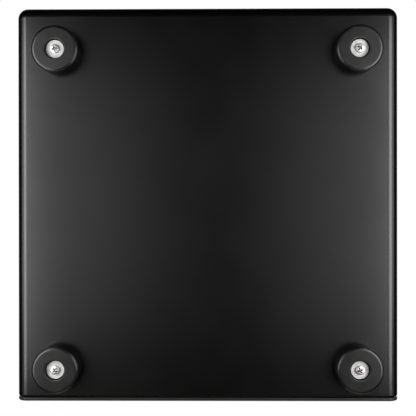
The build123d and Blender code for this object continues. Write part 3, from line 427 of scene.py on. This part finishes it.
def cross_depth(x, y):
    """Depth of the cross recess at a place on the screw head, as a share of its full depth."""
    reach, half_width, taper = 2.5 * MM, 0.7 * MM, 0.25
    wall_run, end_run, core = 0.16 * MM, 0.75 * MM, 0.8 * MM
    if math.hypot(x, y) < core:
        return 1.0
    along = max(abs(x), abs(y))
    across = min(abs(x), abs(y))
    if along > reach:
        return 0.0
    wall = (half_width * (1 - taper * along / reach) - across) / wall_run
    return min(1.0, max(0.0, wall)) * min(1.0, (reach - along) / end_run)


def build_screws(work):
    """Pan heads with a cross recess, each turned as it was driven."""
    driven = (25.0, 47.0, 52.0, 15.0)
    steps, rim_steps, segments = 46, 3, 96
    dome_height, dome_power = 0.55 * MM, 2.6
    rim_height, skirt_height = 0.35 * MM, 2.2 * MM
    recess_depth = 1.5 * MM
    dark_depth, dark_start, dark_end = 0.45 * MM, 0.45 * MM, 2.4 * MM
    for (x, y), angle in zip(foot_centres, driven):
        cos, sin = math.cos(math.radians(angle)), math.sin(math.radians(angle))
        rings = []
        for i in range(steps + 1):
            radius = head_radius * i / steps
            z = screw_face + dome_height * (radius / head_radius) ** dome_power
            z += rim_height * (max(0, i - steps + rim_steps) / rim_steps) ** 2
            ring = []
            for turn in turns(segments if i else 1):
                px, py = spot((0, 0), radius, turn)
                depth = recess_depth * cross_depth(px * cos - py * sin, px * sin + py * cos)
                ring.append(work.verts.new((x + px, y + py, z + depth)))
            rings.append(ring)
        skirt = [
            work.verts.new((*spot((x, y), head_radius, turn), screw_face + skirt_height))
            for turn in turns(segments)
        ]
        rings.append(skirt)
        for lower, upper in zip(rings, rings[1:]):
            for face in bridge(work, lower, upper):
                sunk = min(vertex.co.z for vertex in face.verts) - screw_face
                middle = face.calc_center_median()
                away = math.hypot(middle.x - x, middle.y - y)
                # Deep faces of the cross recess, outside its middle, take a dark brown finish:
                # painted shade, with dirt in the recess.
                if sunk > dark_depth and dark_start < away < dark_end:
                    face.material_index = 1
        work.faces.new(skirt)


def wear_tips(shader):
    """Tips of the feet worn smooth, over sides that keep the dull skin of the mould."""
    side = shader.above(foot_edge, 0.8 * MM)
    shader.drive("Coat Weight", side, 0.25, 0.0)
    shader.drive("Specular IOR Level", side, 0.4, 0.12)
    shader.bsdf.inputs["Coat Roughness"].default_value = 0.14


FINE_WEAR = (1500.0, 1500.0, 1500.0)
washer_look = metal("washer_zinc", (0.62, 0.62, 0.615), 0.6, FINE_WEAR, 0.1, 0.3)
screw_look = metal("screw_zinc", (0.8, 0.75, 0.74), 0.42, FINE_WEAR, 0.1)
# The recess finish is dark brown: painted shade in the cross recess, with dirt.
recess_shade_and_dirt_look = metal("screw_recess_shade_and_dirt", (0.05, 0.03, 0.022), 0.5, FINE_WEAR, 0.1)
piece("feet_moulded", build_feet, looks["foot_rubber"], "root", ["rubber_feet"])
piece("washers_turned", build_washers, washer_look, "root", ["foot_washers"])
screws = piece("screws_cross_head", build_screws, screw_look, "root", ["foot_screws"])
screws.data.materials.append(recess_shade_and_dirt_look.material)
wear_tips(looks["foot_rubber"])


# ---------------------------------------------------------------- marks on the console
console_normal = Vector(joints["key_5_press"]["axis"]).normalized()
console_up = console_normal.cross(Vector((1, 0, 0))).normalized()
lens_low, lens_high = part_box("display_lens")
lens_thickness = 2.0 * MM
console_origin = (lens_low + lens_high) / 2 + console_normal * lens_thickness / 2


def on_console(u, v, w):
    """A place on the console: across, up the slope and out of its surface."""
    return console_origin + Vector((u, 0, 0)) + console_up * v + console_normal * w


def extents(node):
    """A node's reach on the console's own axes: lowest and highest (u, v, w)."""
    found = []
    for vertex in nodes[node].data.vertices:
        away = Vector(vertex.co) - console_origin
        found.append((away.x, away.dot(console_up), away.dot(console_normal)))
    low = tuple(min(values) for values in zip(*found))
    high = tuple(max(values) for values in zip(*found))
    return low, high


def plate(work, outline, place, low, high):
    """A thin plate with a closed outline, from one height to another."""
    lower = [work.verts.new(place(u, v, low)) for u, v in outline]
    upper = [work.verts.new(place(u, v, high)) for u, v in outline]
    work.faces.new(list(reversed(lower)))
    work.faces.new(upper)
    for i in range(len(outline)):
        j = (i + 1) % len(outline)
        work.faces.new([lower[i], lower[j], upper[j], upper[i]])


def band(work, outer, inner, place, low, high):
    """A thin frame between two outlines with the same number of corners."""
    rings = []
    for outline in (outer, inner):
        for height in (low, high):
            rings.append([work.verts.new(place(u, v, height)) for u, v in outline])
    outer_low, outer_high, inner_low, inner_high = rings
    for i in range(len(outer)):
        j = (i + 1) % len(outer)
        work.faces.new([outer_low[i], outer_low[j], outer_high[j], outer_high[i]])
        work.faces.new([inner_low[j], inner_low[i], inner_high[i], inner_high[j]])
        work.faces.new([outer_high[i], outer_high[j], inner_high[j], inner_high[i]])
        work.faces.new([outer_low[j], outer_low[i], inner_low[i], inner_low[j]])


def circle(u, v, radius, count=28, start=0.0, end=360.0):
    """Corners round a circle or along a part of it."""
    steps = count if abs(end - start) == 360 else count - 1
    return arc((u, v), radius, start, end, steps)[:count]


def rounded(width, height, radius):
    """Corners of a rounded rectangle."""
    across, along = width / 2 - radius, height / 2 - radius
    points = []
    for u, v, start in ((1, 1, 0), (-1, 1, 90), (-1, -1, 180), (1, -1, 270)):
        points += arc((u * across, v * along), radius, start, start + 90, 4)
    return points


def bar(u, v, width, height):
    """Corners of an upright rectangle about a place."""
    return [
        (u - width / 2, v - height / 2),
        (u + width / 2, v - height / 2),
        (u + width / 2, v + height / 2),
        (u - width / 2, v + height / 2),
    ]


LOOP = 0.85  # radius of a figure's large loops
# Centre lines of plain figures, in a cell 2 wide and 3 high.
FIGURES = {
    "0": [
        circle(0, 0.65, LOOP, 9, 180, 0) + circle(0, -0.65, LOOP, 9, 0, -180) + [(-LOOP, 0.65)]
    ],
    "1": [[(-0.55, 0.95), (0.1, 1.5), (0.1, -1.5)]],
    "2": [circle(0, 0.65, LOOP, 10, 165, -40) + [(-0.85, -1.5), (0.9, -1.5)]],
    "3": [circle(0, 0.72, 0.76, 10, 150, -85) + circle(0, -0.67, LOOP, 11, 85, -150)],
    "4": [[(0.45, -1.5), (0.45, 1.5), (-0.95, -0.55), (0.95, -0.55)]],
    "5": [[(0.75, 1.5), (-0.65, 1.5), (-0.75, 0.1)] + circle(-0.02, -0.6, 0.9, 11, 125, -145)],
    "6": [
        circle(0, -0.62, LOOP, 17, 170, -190),
        [(-0.84, -0.5), (-0.72, 0.5), (-0.25, 1.2), (0.45, 1.5)],
    ],
    "7": [[(-0.85, 1.5), (0.85, 1.5), (-0.25, -1.5)]],
    "8": [circle(0, 0.74, 0.72, 15, -90, 270), circle(0, -0.68, LOOP, 17, 90, 450)],
    "9": [
        circle(0, 0.62, LOOP, 17, -10, 350),
        [(0.84, 0.5), (0.72, -0.5), (0.25, -1.2), (-0.45, -1.5)],
    ],
}
MITRE_LIMIT = 0.55


def stroke(work, points, half, place, low, high):
    """A raised line of constant width along a run of points, with mitred corners."""
    count = len(points)
    left, right = [], []
    for i in range(count):
        before = Vector(points[max(i - 1, 0)])
        here = Vector(points[i])
        after = Vector(points[min(i + 1, count - 1)])
        one = (here - before).normalized() if i else (after - here).normalized()
        two = (after - here).normalized() if i < count - 1 else one
        mean = (one + two).normalized() if (one + two).length > 1e-6 else one
        side = Vector((-mean.y, mean.x))
        widen = half / max(MITRE_LIMIT, mean.dot(one))
        left.append(here + side * widen)
        right.append(here - side * widen)
    rings = []
    for run in (left, right):
        for height in (low, high):
            rings.append([work.verts.new(place(p.x, p.y, height)) for p in run])
    left_low, left_high, right_low, right_high = rings
    for i in range(count - 1):
        j = i + 1
        work.faces.new([left_high[i], right_high[i], right_high[j], left_high[j]])
        work.faces.new([left_low[j], right_low[j], right_low[i], left_low[i]])
        work.faces.new([left_low[i], left_high[i], left_high[j], left_low[j]])
        work.faces.new([right_high[i], right_low[i], right_low[j], right_high[j]])
    for i in (0, count - 1):
        work.faces.new([left_low[i], right_low[i], right_high[i], left_high[i]])


# Marks reach a little into a face, and stand a little out of it.
MARK_DEPTH = 0.04 * MM
MARK_PROUD = 0.06 * MM


def build_legend(work, mark, centre, face):
    """One key's mark, centred on the key's face. Its measures are in millimetres."""

    def place(u, v, w):
        return on_console(centre[0] + u * MM, centre[1] + v * MM, face + w)

    def line(points, half):
        stroke(work, points, half, place, -MARK_DEPTH, MARK_PROUD)

    def patch(outline):
        plate(work, outline, place, -MARK_DEPTH, MARK_PROUD)

    dot = 0.75
    if mark in FIGURES:
        for run in FIGURES[mark]:
            line([(u * 1.35, v * 1.55) for u, v in run], 0.32)
    elif mark == "point":
        patch(circle(0, -1.2, dot))
    elif mark == "power":
        line(circle(0, -0.1, 2.0, 25, 125, 415), 0.27)
        patch(bar(0, 1.35, 0.54, 2.3))
    elif mark == "add":
        line([(-2.1, 0), (2.1, 0)], 0.3)
        for side in (1, -1):
            patch(bar(0, side * 1.2, 0.6, 1.79))
    elif mark == "zero_set":
        for run in FIGURES["0"]:
            line([(u * 1.1, v * 1.3) for u, v in run], 0.27)
        for side in (-1, 1):
            line([(side * 7.0, 0), (side * 4.1, 0)], 0.24)
            tip = [(side * 2.6, 0), (side * 4.1, 1.0), (side * 4.1, -1.0)]
            patch(tip[::-side])
    elif mark == "tare":
        patch(bar(0, -1.6, 7.0, 0.5))
        patch(bar(0, 1.1, 0.5, 1.9))
        patch([(0, -1.1), (1.2, 0.4), (-1.2, 0.4)])
    elif mark == "sample":
        for i in (-1, 0, 1):
            patch(circle(i * 2.4, 0, dot))
    elif mark == "unit_weight":
        patch(circle(0, 0.9, dot))
        patch(bar(0, -1.5, 5.0, 0.5))
    elif mark == "clear":
        for side in (-1, 1):
            line([(-1.5, -1.5 * side), (-0.28, -0.28 * side)], 0.3)
            line([(0.28, 0.28 * side), (1.5, 1.5 * side)], 0.3)
        patch(circle(0, 0, 0.42))


dark_mark = moulded("mark_dark", (0.02, 0.022, 0.026), 0.5, 5000.0, 0.05)
pale_mark = moulded("mark_pale", (0.72, 0.72, 0.7), 0.5, 5000.0, 0.05)
for name in sorted(name for name in nodes if f"{name}_press" in joints):
    low, high = extents(name)
    centre = ((low[0] + high[0]) / 2, (low[1] + high[1]) / 2)
    mark = name[len("key_"):]
    look = dark_mark if slots[name] == "digit_keys" else pale_mark
    body = joints[f"{name}_press"]["child"]

    def build_mark(work, mark=mark, centre=centre, face=high[2]):
        build_legend(work, mark, centre, face)

    piece(f"mark_{mark}", build_mark, look, body, smooth=False)


# ---------------------------------------------------------------- display
module_low, module_high = extents("lcd_modules")
module_face = module_high[2]
module_width = 84.0 * MM
module_pitch = (module_high[0] - module_low[0] - module_width) / 2
module_centres = [i * module_pitch for i in (-1, 0, 1)]
module_middle = (module_low[1] + module_high[1]) / 2
# The figures of a readout, in millimetres.
DIGIT_COUNT = 6
DIGIT_PITCH = 11.4
DIGIT_WIDTH = 7.4
DIGIT_HEIGHT = 14.0
LAST_DIGIT = 28.5
DIGIT_DROP = 0.4
LEAN = 0.09
POINT_SIZE = 1.3
POINT_OFFSET = 5.6
POINT_LIFT = 0.1
SEGMENT_HALF = 0.8
SEGMENT_GAP = 0.28
SEGMENTS = {
    "a": (0.0, 0.5, True),
    "b": (0.5, 0.25, False),
    "c": (0.5, -0.25, False),
    "d": (0.0, -0.5, True),
    "e": (-0.5, -0.25, False),
    "f": (-0.5, 0.25, False),
    "g": (0.0, 0.0, True),
}
NOUGHT = set("abcdef")


def segment(work, place, key, low, high):
    """One bar of a seven-bar figure, with pointed ends."""
    u, v, flat = SEGMENTS[key]
    centre_u, centre_v = u * DIGIT_WIDTH, v * DIGIT_HEIGHT
    end = (DIGIT_WIDTH if flat else DIGIT_HEIGHT / 2) / 2 - SEGMENT_GAP
    half = SEGMENT_HALF
    corners = [(-end, 0), (half - end, -half), (end - half, -half)]
    corners += [(end, 0), (end - half, half), (half - end, half)]
    if flat:
        outline = [(centre_u + along, centre_v + across) for along, across in corners]
    else:
        outline = [(centre_u - across, centre_v + along) for along, across in corners]
    plate(work, outline, place, low, high)


def build_readout(work, lit):
    """The dark bars of three readouts, or the faint ones that are off."""
    shown_noughts = (4, 5, 1)
    points = (3, 4, None)
    dot = bar(POINT_OFFSET, POINT_LIFT - DIGIT_HEIGHT / 2, POINT_SIZE, POINT_SIZE)
    low, high = -0.02 * MM, (0.05 if lit else 0.03) * MM
    for centre, shown, point in zip(module_centres, shown_noughts, points):
        for from_right in range(DIGIT_COUNT):
            digit_u = LAST_DIGIT - from_right * DIGIT_PITCH

            def place(u, v, w, centre=centre, digit_u=digit_u):
                across = centre + (digit_u + u + v * LEAN) * MM
                return on_console(across, module_middle + (v - DIGIT_DROP) * MM, module_face + w)

            dark = NOUGHT if from_right < shown else set()
            for key in sorted(dark if lit else set(SEGMENTS) - dark):
                segment(work, place, key, low, high)
            if lit == (from_right == point):
                plate(work, dot, place, low, high)


segment_dark = moulded("segment_dark", (0.008, 0.009, 0.01), 0.45, 5000.0, 0.03)
segment_faint = moulded("segment_faint", (0.27, 0.32, 0.22), 0.35, 5000.0, 0.03)
piece("readout_bars", lambda work: build_readout(work, True), segment_dark, "root",
      smooth=False)
piece("readout_bars_off", lambda work: build_readout(work, False), segment_faint, "root",
      smooth=False)


def build_window_frames(work):
    """Fine printed frames round the three windows, on the back of the lens."""
    width, height, corner, line = 77.0, 27.0, 1.6, 0.6
    outer = rounded(width, height, corner)
    inner = rounded(width - 2 * line, height - 2 * line, corner - line)
    for centre in module_centres:
        def place(u, v, w, centre=centre):
            return on_console(centre + u * MM, v * MM, w - lens_thickness)

        band(work, outer, inner, place, 0.01 * MM, 0.1 * MM)


piece("window_frames", build_window_frames, pale_mark, "root", smooth=False)


# ---------------------------------------------------------------- level
vial_low, vial_high = extents("level_lens")
vial_centre = ((vial_low[0] + vial_high[0]) / 2, (vial_low[1] + vial_high[1]) / 2)
vial_radius = (vial_high[0] - vial_low[0]) / 2


def build_level_ring(work):
    """The ring that the bubble is set to."""
    def place(u, v, w):
        return on_console(vial_centre[0] + u, vial_centre[1] + v, vial_high[2] + w)

    outer = circle(0, 0, 0.52 * vial_radius, 48)
    inner = circle(0, 0, 0.44 * vial_radius, 48)
    band(work, outer, inner, place, -0.03 * MM, 0.04 * MM)


def build_bubble(work):
    """An air bubble, flattened under the lens."""
    steps, segments = 10, 32
    radius = 0.36 * vial_radius
    half_depth = 0.45 * MM
    middle = vial_high[2] - 0.12 * MM - half_depth
    rings = []
    for i in range(steps + 1):
        polar = math.pi * i / steps
        w = middle + half_depth * math.cos(polar)
        rings.append(
            [
                work.verts.new(on_console(*spot(vial_centre, radius * math.sin(polar), turn), w))
                for turn in turns(1 if i in (0, steps) else segments)
            ]
        )
    for upper, lower in zip(rings, rings[1:]):
        bridge(work, upper, lower)


bubble_look = clear("bubble", (0.92, 0.98, 0.8), 0.02, 0.6, 1.0)
piece("level_ring", build_level_ring, dark_mark, "root", smooth=False)
piece("level_bubble", build_bubble, bubble_look, "root")


# ---------------------------------------------------------------- rear connectors
def build_rocker_marks(work, side):
    """A bar on one face of the rocker and a ring on the other."""
    pivot = Vector(joints["power_rocker"]["pos_m"])
    tilt = math.radians(10.0)
    face = 4.6 * MM / math.cos(tilt)
    centre_x = side * 4.3 * MM
    along = Vector((math.cos(side * tilt), math.sin(side * tilt), 0))
    out = Vector((-math.sin(side * tilt), math.cos(side * tilt), 0))
    start = Vector((centre_x, face + abs(centre_x) * math.tan(tilt), 0))
    turn = Matrix.Rotation(tilt, 3, "Z")

    def place(u, v, w):
        moved = turn @ (start + along * u * MM + out * w)
        return Vector((pivot.x + moved.x, pivot.y + moved.y, pivot.z + v * MM))

    if side < 0:
        plate(work, bar(0, 0, 0.5, 4.2), place, -MARK_DEPTH, MARK_PROUD)
    else:
        band(work, circle(0, 0, 2.0, 40), circle(0, 0, 1.5, 40), place, -MARK_DEPTH, MARK_PROUD)


rocker_body = joints["power_rocker"]["child"]
for mark, side in (("on", -1), ("off", 1)):
    piece(f"mark_{mark}", lambda work, side=side: build_rocker_marks(work, side), pale_mark,
          rocker_body, smooth=False)

serial_low, serial_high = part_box("serial_port")
serial_centre = (serial_low + serial_high) / 2


def serial_place(u, v, w):
    """A place on the outer face of the serial shell, seen from behind the scale."""
    return Vector((serial_centre.x - u, serial_high.y + w, serial_centre.z + v))


def build_serial_face(work):
    """The insulator inside the shell's rim."""
    half_top, half_bottom, half_height = 7.6 * MM, 6.4 * MM, 3.35 * MM
    outline = [
        (-half_bottom, -half_height), (half_bottom, -half_height),
        (half_top, half_height), (-half_top, half_height),
    ]
    plate(work, outline, serial_place, -0.02 * MM, 0.12 * MM)


def build_serial_contacts(work):
    """Nine gold sockets in two rows."""
    pitch, row, outer, inner = 2.74 * MM, 1.42 * MM, 0.72 * MM, 0.45 * MM
    for count, v in ((5, row), (4, -row)):
        for i in range(count):
            u = (i - (count - 1) / 2) * pitch
            band(work, circle(u, v, outer, 20), circle(u, v, inner, 20), serial_place,
                 0.1 * MM, 0.2 * MM)


piece("serial_face", build_serial_face, looks["component_plastic"], "root",
      smooth=False)
piece("serial_contacts", build_serial_contacts, looks["pin_brass"], "root",
      smooth=False)


# ---------------------------------------------------------------- floor, camera and light
FLOOR_HALF = 4.0
FLOOR_DROP = 0.2 * MM
FADE_START, FADE_END = 0.3, 1.3  # distances from the middle over which the floor fades


def build_floor():
    """A pale floor that is seen from above only, so that the underside can be shown too."""
    shader = Shader("floor", (0.78, 0.78, 0.78), 0.7)
    away = shader.add("ShaderNodeVectorMath")
    away.operation = "LENGTH"
    fade = shader.add("ShaderNodeMapRange")
    fade.interpolation_type = "SMOOTHSTEP"
    fade.inputs["From Min"].default_value = FADE_START
    fade.inputs["From Max"].default_value = FADE_END
    unseen = shader.add("ShaderNodeMath")
    unseen.operation = "MAXIMUM"
    geometry = shader.add("ShaderNodeNewGeometry")
    through = shader.add("ShaderNodeBsdfTransparent")
    mix = shader.add("ShaderNodeMixShader")
    shader.link(shader.coordinates, away.inputs[0])
    shader.link(away.outputs["Value"], fade.inputs["Value"])
    shader.link(fade.outputs["Result"], unseen.inputs[0])
    shader.link(geometry.outputs["Backfacing"], unseen.inputs[1])
    shader.link(unseen.outputs["Value"], mix.inputs["Fac"])
    shader.link(shader.bsdf.outputs["BSDF"], mix.inputs[1])
    shader.link(through.outputs["BSDF"], mix.inputs[2])
    output = shader.tree.nodes["Material Output"]
    shader.link(mix.outputs["Shader"], output.inputs["Surface"])
    mesh = bpy.data.meshes.new("floor")
    work = bmesh.new()
    bmesh.ops.create_grid(work, x_segments=1, y_segments=1, size=FLOOR_HALF)
    work.to_mesh(mesh)
    work.free()
    floor = bpy.data.objects.new("floor", mesh)
    bpy.context.scene.collection.objects.link(floor)
    mesh.materials.append(shader.material)
    floor.location.z = -FLOOR_DROP
    floor.visible_shadow = False
    floor.visible_diffuse = False
    floor.visible_glossy = False
    return floor


floor = build_floor()

FOCAL_LENGTH = 73.44
SENSOR_WIDTH = 36.0
CAMERA_PLACE = (-8.2 * MM, -1.45 * MM, -681.0 * MM)
CAMERA_TURN = (-0.145, 180.63, 0.067)  # degrees
camera_data = bpy.data.cameras.new("camera")
camera_data.lens = FOCAL_LENGTH
camera_data.sensor_width = SENSOR_WIDTH
camera = bpy.data.objects.new("camera", camera_data)
bpy.context.scene.collection.objects.link(camera)
camera.location = CAMERA_PLACE
camera.rotation_euler = [math.radians(angle) for angle in CAMERA_TURN]
bpy.context.scene.camera = camera


def softbox(name, place, target, size, power, color=(1, 1, 1)):
    """A rectangular area light that faces its target."""
    data = bpy.data.lights.new(name, "AREA")
    data.shape = "RECTANGLE"
    data.size, data.size_y = size
    data.energy = power
    data.color = color
    light = bpy.data.objects.new(name, data)
    bpy.context.scene.collection.objects.link(light)
    light.location = place
    direction = Vector(target) - Vector(place)
    light.rotation_mode = "QUATERNION"
    light.rotation_quaternion = direction.to_track_quat("-Z", "Y")
    light.visible_camera = False
    return light


MIDDLE = (0.0, 0.0, 0.05)
PANEL_DISTANCE = 1.5
PANEL_SIZE = (1.7, 0.8)


def surround(name, height, powers):
    """Four softboxes round the scale that face its middle."""
    lights = []
    for turn, power in zip((0, 90, 180, 270), powers):
        place = (
            PANEL_DISTANCE * math.sin(math.radians(turn)),
            PANEL_DISTANCE * math.cos(math.radians(turn)),
            height,
        )
        lights.append(softbox(f"{name}_{turn}", place, MIDDLE, PANEL_SIZE, power))
    return lights


# The underside keeps its dark edges: it has its own lights, and the rest of the scale has others.
UNDERSIDE = ("base_shell", "front_fascia", "feet_moulded", "washers_turned", "screws_cross_head")
# Each pair of softboxes: distance to the side, depth, height, size and power.
LOW_PAIRS = {
    "near": (0.23, 0.005, -0.136, (0.375, 0.088), 0.575),
    "low": (0.623, 0.053, -0.536, (0.485, 0.755), 2.5),
    "wide": (0.623, 0.0, -0.536, (0.9, 0.755), 0.6),
    "far": (0.54, 0.008, -1.2, (0.649, 0.798), 1.49),
}
BASE_MIDDLE = 0.02
WARM = (1.0, 0.9, 0.78)
below = bpy.data.collections.new("underside")
above = bpy.data.collections.new("above_the_base")
for thing in bpy.data.objects:
    if thing.type == "MESH" and thing is not floor:
        (below if thing.name in UNDERSIDE else above).objects.link(thing)

low_lights = []
for side, strip in ((-1, "right"), (1, "left")):
    for part, (away, y, z, size, power) in LOW_PAIRS.items():
        place, target = (side * away, y, z), (0.0, y, BASE_MIDDLE)
        low_lights.append(softbox(f"{strip}_{part}", place, target, size, power))
low_lights.append(
    softbox("front_low", (0.0, -0.9, -0.1), (0.0, -0.1, BASE_MIDDLE), (0.6, 0.16), 0.8, WARM)
)
softbox("overhead", (0.0, 0.0, 1.6), MIDDLE, (0.9, 0.9), 22.0)
upper_lights = [softbox("floor_bounce", (0.0, 0.0, -0.6), (0.0, 0.0, 0.0), (5.0, 5.0), 45.0)]
upper_lights += surround("panel", 0.95, (6.0, 4.5, 6.0, 4.5))
washes = surround("wash", 0.4, (22.0, 22.0, 22.0, 22.0))
for wash in washes:
    wash.visible_glossy = False
for light in low_lights + washes:
    light.light_linking.receiver_collection = below
for light in upper_lights:
    light.light_linking.receiver_collection = above


SKY_HEIGHTS = (0.6, 0.9)
SKY_STRENGTHS = (0.001, 0.7)


def build_world():
    """White to the camera. Elsewhere almost dark, and brighter from high above."""
    world = bpy.data.worlds.new("studio")
    world.use_nodes = True
    bpy.context.scene.world = world
    tree = world.node_tree
    direction = tree.nodes.new("ShaderNodeTexCoord")
    height = tree.nodes.new("ShaderNodeSeparateXYZ")
    sky = tree.nodes.new("ShaderNodeMapRange")
    sky.inputs["From Min"].default_value, sky.inputs["From Max"].default_value = SKY_HEIGHTS
    sky.inputs["To Min"].default_value, sky.inputs["To Max"].default_value = SKY_STRENGTHS
    shown = tree.nodes["Background"]
    shown.inputs["Color"].default_value = (1, 1, 1, 1)
    white = tree.nodes.new("ShaderNodeBackground")
    white.inputs["Color"].default_value = (1, 1, 1, 1)
    white.inputs["Strength"].default_value = 1.0
    path = tree.nodes.new("ShaderNodeLightPath")
    choose = tree.nodes.new("ShaderNodeMixShader")
    tree.links.new(direction.outputs["Generated"], height.inputs["Vector"])
    tree.links.new(height.outputs["Z"], sky.inputs["Value"])
    tree.links.new(sky.outputs["Result"], shown.inputs["Strength"])
    tree.links.new(path.outputs["Is Camera Ray"], choose.inputs["Fac"])
    tree.links.new(shown.outputs["Background"], choose.inputs[1])
    tree.links.new(white.outputs["Background"], choose.inputs[2])
    tree.links.new(choose.outputs["Shader"], tree.nodes["World Output"].inputs["Surface"])


build_world()
bpy.context.scene.view_settings.view_transform = "Standard"
